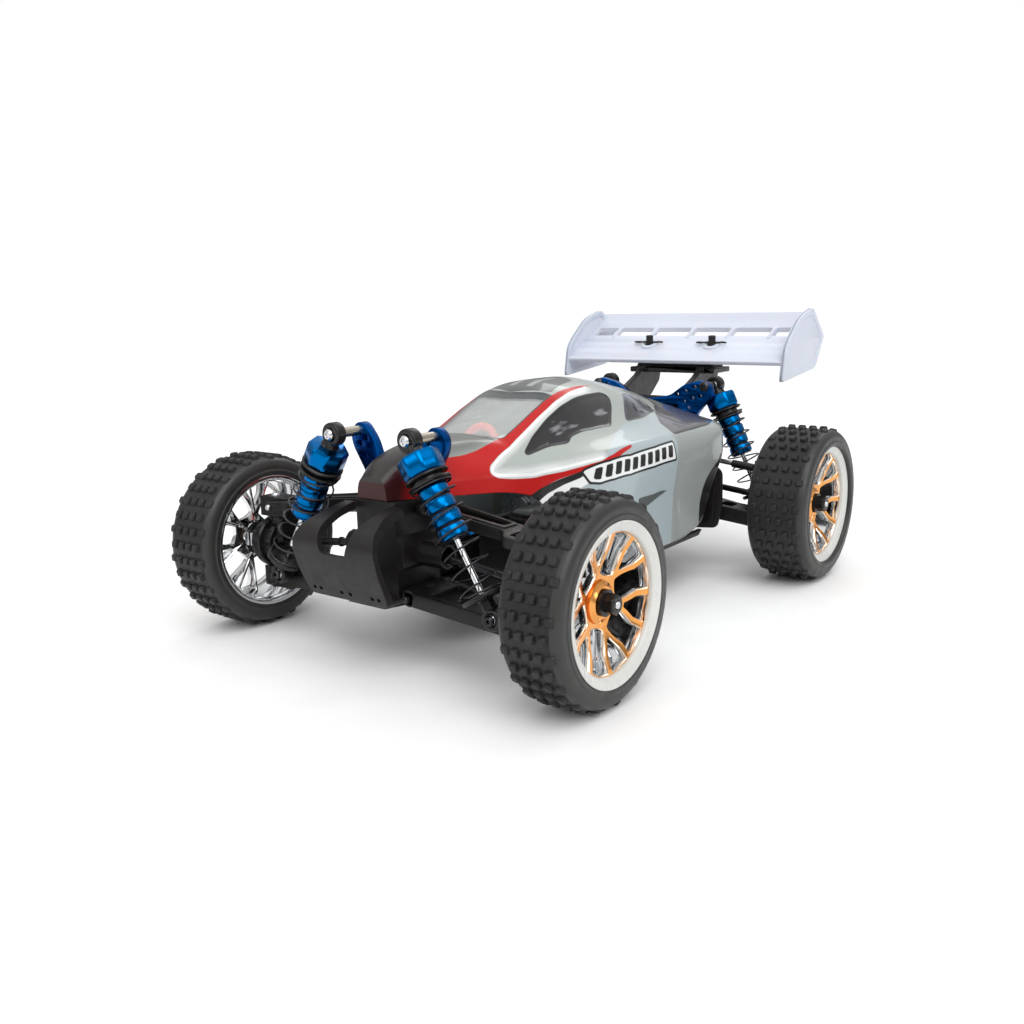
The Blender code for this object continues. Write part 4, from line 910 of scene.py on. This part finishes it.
# Outlines on the shell as (y, distance round the section from the crest), and the radius of their corners;
# both sides are painted alike.
OUTLINES = {
    "windshield": (doubled([(-22, 0), (-20.4, 8), (-17.2, 16.4), (-28, 16.6), (-48, 16), (-48.8, 8)]), 2.5),
    "sun_strip": (doubled([(-22, 0), (-20.4, 8), (-17, 17), (-21.4, 17), (-24.8, 8), (-26, 0)]), 0),
    "roof_panel": (doubled([(-21.5, 0), (-16, 15.6), (-5, 13.2), (7.7, 10), (9.8, 5)]), 2),
    "roof_stripe": ([(-15, 5.6), (4, 4.4), (4, 2.2), (-15, 2.8)], 0),
    "side_window": ([(-47.3, 27.4), (-39, 25), (-28.4, 24), (-15.2, 23.8), (0.6, 22.6), (12.9, 21.8),
                     (15.6, 23.4), (11.6, 28.6), (1.2, 37.6), (-10.9, 36.8), (-25.5, 34.1), (-28.6, 35.6),
                     (-36.8, 31.1)], 2.2),
    "quarter_window": ([(32.8, 19.2), (40.9, 16.5), (51.5, 17.3), (53.8, 24.6), (32.7, 32.9), (15.6, 36.4)],
                       2.6),
    "red_band": ([
        (13, 15.8), (3.8, 15.7), (-5.6, 16.6), (-15.1, 16.9), (-28.7, 16.7), (-36, 16.4), (-42.8, 15.7),
        (-48.7, 14.9), (-54.3, 15.7), (-61.4, 15.6), (-68.3, 15.1), (-75.6, 13.6), (-84, 10.5), (-92, 8),
        (-99, 6), (-112, 6), (-112, 60), (-56, 60), (-52.5, 43.4), (-47.4, 42), (-41.8, 43.5), (-36.3, 46),
        (-29.2, 49.2), (-21, 52.3), (-13.7, 53.4), (-2, 51.7), (0, 50.2), (-14.5, 51.2), (-21.4, 50.6),
        (-30, 47.2), (-38.8, 42.8), (-47.3, 37.3), (-55.3, 32.5), (-60.9, 28.7), (-62.9, 25.8),
        (-61.6, 23.6), (-55.6, 21.8), (-48.1, 20.6), (-41.2, 20.5), (-33.2, 20.3), (-25.4, 20.3),
        (-15.8, 19.9), (-5.1, 18.6)], 1.2),
    "black_swoosh": ([(-56, 41), (-47.8, 41.5), (-42.7, 43.3), (-37.3, 45.6), (-28, 49.4), (-33.1, 50),
                      (-39.3, 47.6), (-45, 46), (-50, 45.6), (-56, 46)], 0),
    "white_swoosh": ([(-50, 45.3), (-45, 45.6), (-39.3, 47.2), (-33.1, 49.6), (-27, 51.6), (-25, 54.6),
                      (-31.8, 53.6), (-41.2, 50.4), (-48, 48.8)], 0),
    "pale_panel": ([(13.9, 37), (2, 41.5), (-7.3, 45.4), (-18.8, 49.9), (-30, 53.4), (-40, 54.5), (-44, 120),
                    (22, 120), (23.9, 88.1), (25.2, 72.9), (28.9, 60.4), (32, 53), (31.5, 48.8), (37.5, 38),
                    (46.5, 29), (30.2, 34.6)], 3),
    "spear": ([(-1.8, 71.8), (9.6, 72), (23.8, 70.6), (15.2, 73.2), (6.1, 75.6), (-1.8, 77.4)], 0),
    "deck": ([(60, 20), (48.2, 29.1), (38.8, 38.1), (33.5, 48.2), (46.5, 46.2), (66, 44), (76, 40), (84, 34),
              (84, 14), (70, 16)], 2.5),
    "deck_black": (doubled([(66, 0), (61, 19), (74, 15), (92, 13)]), 0),
    "nose_shade": (doubled([(-76, 0), (-79, 8), (-88, 11), (-93, 22), (-95.5, 60), (-112, 60)]), 0),
    "hood_shade": (doubled([(-50, 15), (-60, 15), (-78, 13)]), 0),
    # Behind the rear wheel arch the shell is painted black: painted shade that stands for the shaded inside
    # of the open arch.
    "arch": ([(90, 57), (71.4, 57.9), (67.8, 61.5), (61.1, 64.8), (55.4, 68.8), (52.1, 72.9), (49.7, 78.1),
              (49.1, 83.5), (48.6, 100), (90, 100)], 0),
    "rear_shade": ([(100, 46), (34, 47), (30, 54), (24, 70), (24, 110), (100, 110)], 0),
    "badge": (BADGE_TOP + BADGE_BASE[::-1], 0),
}
# A white stripe along the red band's edge, which also carries a wide soft painted highlight.
TEAR_STRIPE_AND_HIGHLIGHT = [(6, 17.4), (-5.1, 19.4), (-15.8, 20.7), (-25.4, 21.1), (-33.2, 21.1), (-41.2, 21.3),
             (-48.1, 21.4), (-55.6, 22.6), (-61.2, 24.4), (-62, 26.4), (-60, 28.3), (-54.4, 31.8),
             (-46.4, 36.6), (-37.8, 42), (-29, 46.4), (-20.6, 49.8)]
# Dark line across the foot of the windshield: painted shadow in the bend between the hood and the windshield.
WINDSHIELD_FOOT_SHADOW = doubled([(-50.4, 17), (-51.2, 8)])
# Coats from the bottom up: layer, distance that it grows by, softness of its edge, strength and colour.
COATS = [
    ("rear_shade", 0, 4, 0.55, (0.24, 0.26, 0.27)),
    ("pale_panel", 0, 0.35, 1, (0.37, 0.435, 0.455)),
    ("hood_shade", 0.5, 5, 0.95, (0.125, 0.13, 0.12)),
    # Painted shadow along the foot of the windshield.
    ("windshield_foot_shadow", 1, 0.6, 0.85, (0.03, 0.03, 0.03)),
    # The wide soft pale coat round the tear stripe is a painted highlight; the crisp coat after it is the
    # white stripe itself.
    ("tear_stripe_and_highlight", 2, 1.5, 0.6, (0.78, 0.8, 0.8)),
    ("tear_stripe_and_highlight", 0.5, 0.25, 1, (0.86, 0.87, 0.87)),
    ("roof_panel", 0, 0.15, 0.94, (0.035, 0.042, 0.037)),
    ("roof_stripe", 0, 0.2, 0.7, (0.42, 0.45, 0.43)),
    ("red_band", 0, 0.15, 1, (0.47, 0.003, 0.002)),
    ("nose_shade", -0.6, 5, 0.94, (0.014, 0.008, 0.008)),
    ("black_swoosh", 0, 0.15, 1, (0.008, 0.008, 0.008)),
    ("white_swoosh", 0, 0.15, 1, (0.82, 0.83, 0.83)),
    ("spear", 0, 0.2, 0.9, (0.06, 0.065, 0.065)),
    ("badge", 0.9, 0.12, 1, (0.01, 0.01, 0.01)),
    ("badge", 0.1, 0.12, 1, (0.8, 0.82, 0.82)),
    ("badge_bars", 0, 0.12, 1, (0.012, 0.012, 0.013)),
    ("deck", 0.4, 0.3, 1, (0.02, 0.02, 0.022)),
    ("deck", -0.5, 0.5, 0.9, (0.085, 0.08, 0.09)),
    ("deck_black", 0, 0.3, 1, (0.008, 0.008, 0.009)),
    # Painted shade: black over the shell where the shaded wheel arch opens.
    ("arch", 0, 0.25, 1, (0.008, 0.008, 0.008)),
    ("side_window", 0.9, 0.2, 1, (0.004, 0.004, 0.005)),
    ("quarter_window", 0.45, 0.15, 1, (0.03, 0.03, 0.033)),
    ("windshield", 0.5, 0.15, 1, (0.05, 0.05, 0.05)),
    ("sun_strip", 0.2, 0.2, 0.9, (0.05, 0.06, 0.06)),
]


def badge_bars():
    """Slanted bars that stand in a row inside the side badge."""
    def place(y, share):
        return y, blend(np.interp(y, *zip(*BADGE_TOP)), np.interp(y, *zip(*BADGE_BASE)), share)

    first, pitch, width, lean = -27.4, 5.5, 3.7, 1.9
    starts = [first + pitch * k for k in range(10)]
    return [[place(y + lean, 0.14), place(y + width + lean, 0.14), place(y + width, 0.86), place(y, 0.86)]
            for y in starts]


def line_distance(points, path):
    """Distance from each (y, g) point to the line through a path."""
    nearest = np.full(len(points), np.inf)
    path = np.array(path, float)
    for start, step in zip(path, np.diff(path, axis=0)):
        t = np.clip((points - start) @ step / max(step @ step, 1e-9), 0, 1)
        nearest = np.minimum(nearest, np.linalg.norm(points - start - t[:, None] * step, axis=1))
    return nearest


def signed_distance(points, loop):
    """Distance from each (y, g) point to a closed outline, negative inside it."""
    inside = np.zeros(len(points), bool)
    y, g = points.T
    for (ay, ag), (by, bg) in zip(loop, loop[1:] + loop[:1]):
        if abs(bg - ag) > 1e-9:
            inside ^= ((ag > g) != (bg > g)) & (y < (by - ay) * (g - ag) / (bg - ag) + ay)
    return np.where(inside, -1, 1) * line_distance(points, loop + loop[:1])


def paint_layers(points):
    """Distances, in millimetres, that say where each paint or window layer lies."""
    points = np.stack([points[:, 0], np.abs(points[:, 1])], axis=1)
    layers = {name: signed_distance(points, fillet(*outline)) for name, outline in OUTLINES.items()}
    layers["badge_bars"] = np.min([signed_distance(points, bar) for bar in badge_bars()], axis=0)
    layers["tear_stripe_and_highlight"] = line_distance(points, fillet(TEAR_STRIPE_AND_HIGHLIGHT, 3, closed=False))
    layers["windshield_foot_shadow"] = line_distance(points, WINDSHIELD_FOOT_SHADOW)
    return layers


def mix_colour(tree, factor, under, over):
    return add_node(tree, "Mix", {0: factor, 6: under, 7: over}, data_type="RGBA").outputs[2]


def mix_shader(tree, factor, under, over):
    return add_node(tree, "MixShader", {0: factor, 1: under.outputs[0], 2: over.outputs[0]})


def math_node(tree, operation, a, b):
    return add_node(tree, "Math", {0: a, 1: b}, operation=operation).outputs[0]


def layer_mask(tree, layer, edge=0, soft=0.12, power=1):
    """The given power inside a layer's outline grown by edge, and 0 outside it, with a soft border."""
    attribute = add_node(tree, "Attribute", {}, attribute_name=layer)
    inputs = {"From Min": edge - soft, "From Max": edge + soft, "To Min": power, "To Max": 0,
              "Value": attribute.outputs["Fac"]}
    return add_node(tree, "MapRange", inputs, interpolation_type="SMOOTHSTEP").outputs["Result"]


def window_shader(tree):
    """Dark side glass with pale streaks of painted reflection, and a clear windshield with a milky tint."""
    coords = add_node(tree, "TexCoord", {})
    place = add_node(tree, "Mapping", {"Vector": coords.outputs["Object"], "Rotation": (0.6, 0, 0.5),
                                       "Scale": (260, 60, 190)})
    streaks = add_node(tree, "TexNoise", {"Vector": place.outputs["Vector"], "Scale": 1})
    # The pale streaks in the side glass colour are painted reflection.
    shade = ramp(tree, streaks.outputs["Fac"], (0.6, (0.01, 0.01, 0.012)), (0.69, (0.2, 0.195, 0.215)))
    colour = mix_colour(tree, layer_mask(tree, "windshield", 0.5, 0.5), shade, (0.93, 0.96, 0.945))
    inputs = {"Base Color": colour, "Roughness": 0.12, "Specular IOR Level": 0.3, "Coat Weight": 0.25,
              "Coat Roughness": 0.02}
    tint = add_node(tree, "BsdfPrincipled", inputs)
    clear = add_node(tree, "BsdfTransparent", {"Color": (0.92, 0.94, 0.93)})
    return mix_shader(tree, layer_mask(tree, "windshield", 0.5, 0.5, 0.72), tint, clear)


def shell_material():
    """Pearl paint with crisp coloured layers over it, and tinted windows, under one clear coat."""
    material, tree, bsdf = new_material("shell_paint")
    flake = noise(tree, 5000, 2)
    colour = ramp(tree, flake, (0.3, (0.335, 0.37, 0.345)), (0.7, (0.4, 0.435, 0.41)))
    for layer, edge, soft, power, paint in COATS:
        colour = mix_colour(tree, layer_mask(tree, layer, edge, soft, power), colour, paint)
    dull = layer_mask(tree, "red_band", 0, 0.3, 0.45)
    for matt in (("hood_shade", -1, 5, 0.35), ("arch", 0, 0.3, 0.55), ("nose_shade", 0, 5, 0.5)):
        dull = math_node(tree, "MAXIMUM", dull, layer_mask(tree, *matt))
    feed(tree, bsdf, {
        "Base Color": colour, "Metallic": 0.1, "Specular IOR Level": 0.3,
        "Roughness": ramp(tree, flake, (0.3, 0.26), (0.7, 0.36)),
        "Coat Weight": math_node(tree, "SUBTRACT", 0.6, dull), "Coat IOR": 1.4, "Coat Roughness": 0.03,
        "Normal": bump(tree, noise(tree, 45, 2), 0.12, 0.0008)})
    front = math_node(tree, "SUBTRACT", layer_mask(tree, "windshield"), layer_mask(tree, "sun_strip"))
    sides = math_node(tree, "MAXIMUM", layer_mask(tree, "side_window", -0.5),
                      layer_mask(tree, "quarter_window", -0.2))
    glazed = mix_shader(tree, math_node(tree, "MAXIMUM", front, sides), bsdf, window_shader(tree))
    feed(tree, tree.nodes["Material Output"], {"Surface": glazed.outputs[0]})
    return material


def make_shell():
    half = shell_grid()
    around = girth(half)
    rows, columns = half.shape[:2]
    width = 2 * columns - 1
    grid = np.concatenate([half[:, :0:-1] * (-1, 1, 1), half], axis=1)
    reach = np.concatenate([-around[:, :0:-1], around], axis=1)
    layers = paint_layers(np.stack([grid[..., 1].ravel(), reach.ravel()], axis=1))
    normals = np.cross(np.gradient(grid, axis=0), np.gradient(grid, axis=1))
    normals /= np.linalg.norm(normals, axis=2)[..., None]
    normals *= np.sign(normals[rows // 2, columns - 1, 2])
    windows = np.min([layers[name] for name in ("side_window", "quarter_window", "windshield")], axis=0)
    recess = np.clip((0.6 - windows) / 1.2, 0, 1) * 0.35
    grid = grid - normals * recess.reshape(rows, width)[..., None]
    faces = [tuple(range(width))[::-1]]
    for r in range(rows - 1):
        in_slots = SLOT_Y[0] < grid[r:r + 2, columns - 1, 1].mean() < SLOT_Y[1]
        for c in range(width - 1):
            if not in_slots or min(abs(grid[r, c:c + 2, 0])) <= SLOT_X:
                k = r * width + c
                faces.append((k, k + 1, k + 1 + width, k + width))
    mesh = bpy.data.meshes.new("body_shell_looks")
    mesh.from_pydata(((grid.reshape(-1, 3) + SHIFT) * MM).tolist(), [], faces)
    for name, values in layers.items():
        attribute = mesh.attributes.new(name, "FLOAT", "POINT")
        attribute.data.foreach_set("value", values.astype(np.float32))
    bm = bmesh.new()
    bm.from_mesh(mesh)
    bmesh.ops.recalc_face_normals(bm, faces=bm.faces)
    if max(bm.faces, key=lambda face: face.calc_center_median().z).normal.z < 0:
        bmesh.ops.reverse_faces(bm, faces=bm.faces)
    bm.to_mesh(mesh)
    bm.free()
    mesh.materials.append(shell_material())
    obj = attach(mesh, "chassis", ["body_shell"], 40)
    solid = obj.modifiers.new("thickness", "SOLIDIFY")
    solid.thickness = SHELL_THICKNESS * MM
    solid.offset = -1


def make_cockpit():
    """Tray, dashboard, seat, steering wheel and roll hoop seen through the windows."""
    # The grey tray and the red steering wheel glow, painted light that lets them show through the windows.
    part = Part(PLASTIC_SATIN, GLOWING_RED_PART, GLOWING_GREY_LINER)
    tray = fillet([(-9, -42), (9, -42), (24, -28), (25, 20), (-25, 20), (-24, -28)], 3)
    part.plate([tray], 1.6, Matrix.Translation((0, 0, 65.4)), 2, 0.4)
    part.block((-13, -47.5, 66), (13, -44, 69), 0, 1.2)
    part.block((-10, -8, 66.5), (10, 8, 74), 0, 2.5)
    part.block((-9, 4, 66.5), (9, 9.5, 82), 0, 2.2)
    lean = Matrix.Translation((-1, -40.3, 69.5)) @ Matrix.Rotation(math.radians(-24), 4, "X")
    angles = [math.radians(a) for a in range(-20, 201, 10)]
    part.tube([(7.2 * math.cos(a), 0, 7.2 * math.sin(a)) for a in angles], 1.5, 1, 10, lean)
    part.tube([(-7, 0, 0.5), (0, 0, 1.4), (7, 0, 0.5)], 0.8, 0, 8, lean)
    angles = [math.radians(a) for a in range(0, 181, 10)]
    part.tube([(15 * math.cos(a), 11, 66.5 + 19.5 * math.sin(a) ** 0.8) for a in angles], 1.3, 0, 10)
    part.finished("cockpit_looks", "chassis", "black_plastic")


make_shell()
make_cockpit()


# Rear wing ----------------------------------------------------------------------------------------------
WING_TOP = [(105.5, 92.5), (113, 96.4), (121, 100.2), (131, 105), (138.5, 109.8), (143.5, 114.5)]
POST_X, POST_Y = 17.2, 119              # posts that carry the wing
RIB_PITCH = 21.5
CLIP_Z = 100.6


def make_wing_blade():
    """Cambered blade with a row of windows between its ribs, and holes for the posts."""
    lower = [(y + 0.7, z - 1.8) for y, z in reversed(WING_TOP)]
    corners = [0.5, 3, 3, 3, 3, 0.5]
    blade = Part(WING_NYLON)
    blade.plate([fillet(WING_TOP + lower, corners * 2)], 117.4, along(0), 0, 0.02)
    obj = blade.stand_in("rear_wing", "chassis", "white_nylon", 30)
    cuts = Part(WING_NYLON)
    rib, reach = 2.2, 56
    for i in range(-3, 3):
        low, high = max(i * RIB_PITCH + rib / 2, -reach), min((i + 1) * RIB_PITCH - rib / 2, reach)
        cuts.block((low, 127.6, 95), (high, 134.4, 115), 0, 1)
    for x in (-POST_X, POST_X):
        cuts.rod((x, POST_Y, 90), (x, POST_Y, 108), 2.3, 0, 0.05)
    apply_boolean(obj, cuts, "DIFFERENCE")
    shade(obj.data, 30)
    add_bevel(obj, 0.3)


def make_end_plates():
    """End plates with raised borders, washers round the posts and short ribs across the blade's windows."""
    corners = [2, 3, 4, 5, 2.5, 2, 3]
    outline = fillet([(104, 83.5), (106.6, 98.1), (110.3, 102.4), (123.3, 112.6), (138.6, 116.5),
                      (154.6, 102.5), (144.3, 87.6)], corners, 5)
    inner = fillet([(107.5, 86.6), (109.2, 97), (112.6, 100.9), (124, 110), (137.9, 113.6), (150.7, 102.2),
                    (142.6, 90.2)], corners, 5)
    plates = Part(WING_NYLON)
    for side in SIDES.values():
        plates.plate([outline], 1.5, along(side * 58.7), 0, 0.35)
        plates.plate([outline, inner], 2.1, along(side * 58.7))
    for x in (-POST_X, POST_X):
        washer = [(2.4, 0), (4.2, 0), (4.2, 0.8), (3.9, 1.1), (2.4, 1.1)]
        plates.lathe(washer, towards((0, -0.43, 0.9), (x, POST_Y, 99)), 28, 0, ring=True)
    tilt = (Matrix.Translation((0, 131, 102.4)) @ Matrix.Rotation(0.5, 4, "X")
            @ Matrix.Translation((0, -131, -100.4)))
    for k in range(-2, 3):
        x = k * RIB_PITCH
        plates.block((x - 0.8, 126, 101.4), (x + 0.8, 136, 103.4), 0, 0.5, tilt)
    plates.finished("wing_end_plates", "chassis", "white_nylon")


def make_clips():
    """Bent wire pins through the posts that hold the wing, and the posts' caps."""
    part = Part(DARK_STEEL, PLASTIC)
    angles = [math.radians(60 + 30 * i) for i in range(10)]
    for x in (-POST_X, POST_X):
        part.tube([(x - 6.4 + 1.6 * math.cos(a), POST_Y + 1.6 * math.sin(a), CLIP_Z) for a in angles], 0.45)
        part.tube([(x - 5.6, 117.6, CLIP_Z), (x - 1, 118.4, CLIP_Z), (x + 7.4, 119.2, CLIP_Z)], 0.45)
        part.tube([(x - 4.2, 119.6, CLIP_Z), (x - 2.4, 121.4, CLIP_Z + 0.1), (x - 0.2, 120.4, CLIP_Z),
                   (x + 2, 121.6, CLIP_Z), (x + 5, 123, CLIP_Z)], 0.45)
        part.rod((x, POST_Y, 98), (x, POST_Y, 102.2), 1.75, 1, 0.5)
    part.finished("wing_clips", "chassis", "steel")


def make_guards():
    """Black mud guards ahead of the rear arms, and the beam under the wing."""
    part = Part(PLASTIC)
    guard = [(7, 19.2), (30, 19.2), (44, 20.5), (46.2, 30), (46, 46.5), (42, 49), (33, 49), (20, 34), (7, 26)]
    rib = [(38, 22), (42.6, 23), (44, 44), (39.6, 44)]
    for side in SIDES.values():
        part.plate([fillet([(side * x, z) for x, z in guard], 2.4)], 1.6, across(72.6), 0, 0.35)
        part.plate([fillet([(side * x, z) for x, z in rib], 1.5, 3)], 2.6, across(72.2), 0, 0.5)
    part.block((-21, 112.5, 86.9), (21, 124.5, 90.6), 0, 1.2)
    part.finished("rear_guards", "chassis", "black_plastic")


make_wing_blade()
make_end_plates()
make_clips()
make_guards()


# Stage --------------------------------------------------------------------------------------------------
FLOOR_HALF = 12                         # metres
CAMERA_AZIMUTH, CAMERA_ELEVATION, CAMERA_ROLL = [math.radians(angle) for angle in (37.252, 11.994, -1.234)]
CAMERA_TARGET = Vector((-16.616, 0, 34.239))
CAMERA_DISTANCE = 423.265


def make_floor():
    mesh = bpy.data.meshes.new("floor")
    corners = [(sx * FLOOR_HALF, sy * FLOOR_HALF, 0) for sx, sy in ((-1, -1), (1, -1), (1, 1), (-1, 1))]
    mesh.from_pydata(corners, [], [(0, 1, 2, 3)])
    material, tree, bsdf = new_material("floor")
    colour = ramp(tree, noise(tree, 40, 3), (0.4, 0.91), (0.6, 0.93))
    feed(tree, bsdf, {"Base Color": colour, "Roughness": 0.8, "Specular IOR Level": 0.1})
    mesh.materials.append(material)
    add_object(mesh)


def add_light(kind, name, power, location, target):
    """A light, in metres, that faces its target."""
    data = bpy.data.lights.new(name, kind)
    data.energy = power
    light = add_object(data)
    light.location = location
    light.rotation_mode = "QUATERNION"
    light.rotation_quaternion = (Vector(target) - Vector(location)).to_track_quat("-Z", "Y")
    return data


def light_scene():
    """Bright overhead studio that the camera sees as white, a wide key light and three soft boxes."""
    world = bpy.data.worlds.new("studio")
    bpy.context.scene.world = world
    world.use_nodes = True
    tree = world.node_tree
    coords = add_node(tree, "TexCoord", {})
    height = add_node(tree, "SeparateXYZ", {0: coords.outputs["Generated"]}).outputs["Z"]
    sky = ramp(tree, height, (0, 0.3), (0.12, 0.36), (0.45, 0.7), (0.95, 1.05))
    seen = add_node(tree, "LightPath", {}).outputs["Is Camera Ray"]
    feed(tree, tree.nodes["Background"], {"Color": mix_colour(tree, seen, sky, (1, 1, 1)), "Strength": 1})
    add_light("SUN", "key", 1.35, (0.55, -0.45, 0.9), (0, 0, 0)).angle = math.radians(50)
    for name, power, location, size in (("front", 1.3, (-0.35, -1.15, 0.6), (0.7, 0.35)),
                                        ("side", 1.2, (1.1, -0.25, 0.55), (0.5, 0.3)),
                                        ("back", 1.2, (-0.3, 0.9, 0.8), (0.6, 0.3))):
        box = add_light("AREA", name, power, location, (0, 0, 0.05))
        box.shape = "RECTANGLE"
        box.size, box.size_y = size


def place_camera():
    """Three-quarter front view, from the car's left."""
    level = Vector((math.sin(CAMERA_AZIMUTH), -math.cos(CAMERA_AZIMUTH), 0))
    back = level * math.cos(CAMERA_ELEVATION) + Vector((0, 0, math.sin(CAMERA_ELEVATION)))
    right = (-back).cross(Vector((0, 0, 1))).normalized()
    up = right.cross(-back)
    turned_right = right * math.cos(CAMERA_ROLL) + up * math.sin(CAMERA_ROLL)
    turned_up = up * math.cos(CAMERA_ROLL) - right * math.sin(CAMERA_ROLL)
    data = bpy.data.cameras.new("camera")
    data.sensor_width = 36
    data.lens = 34.862
    data.clip_start = 0.01
    camera = add_object(data)
    turn = Matrix((turned_right, turned_up, back)).transposed().to_4x4()
    camera.matrix_world = Matrix.Translation((CAMERA_TARGET + back * CAMERA_DISTANCE + SHIFT) * MM) @ turn
    bpy.context.scene.camera = camera


make_floor()
light_scene()
place_camera()
bpy.context.scene.view_settings.view_transform = "Standard"
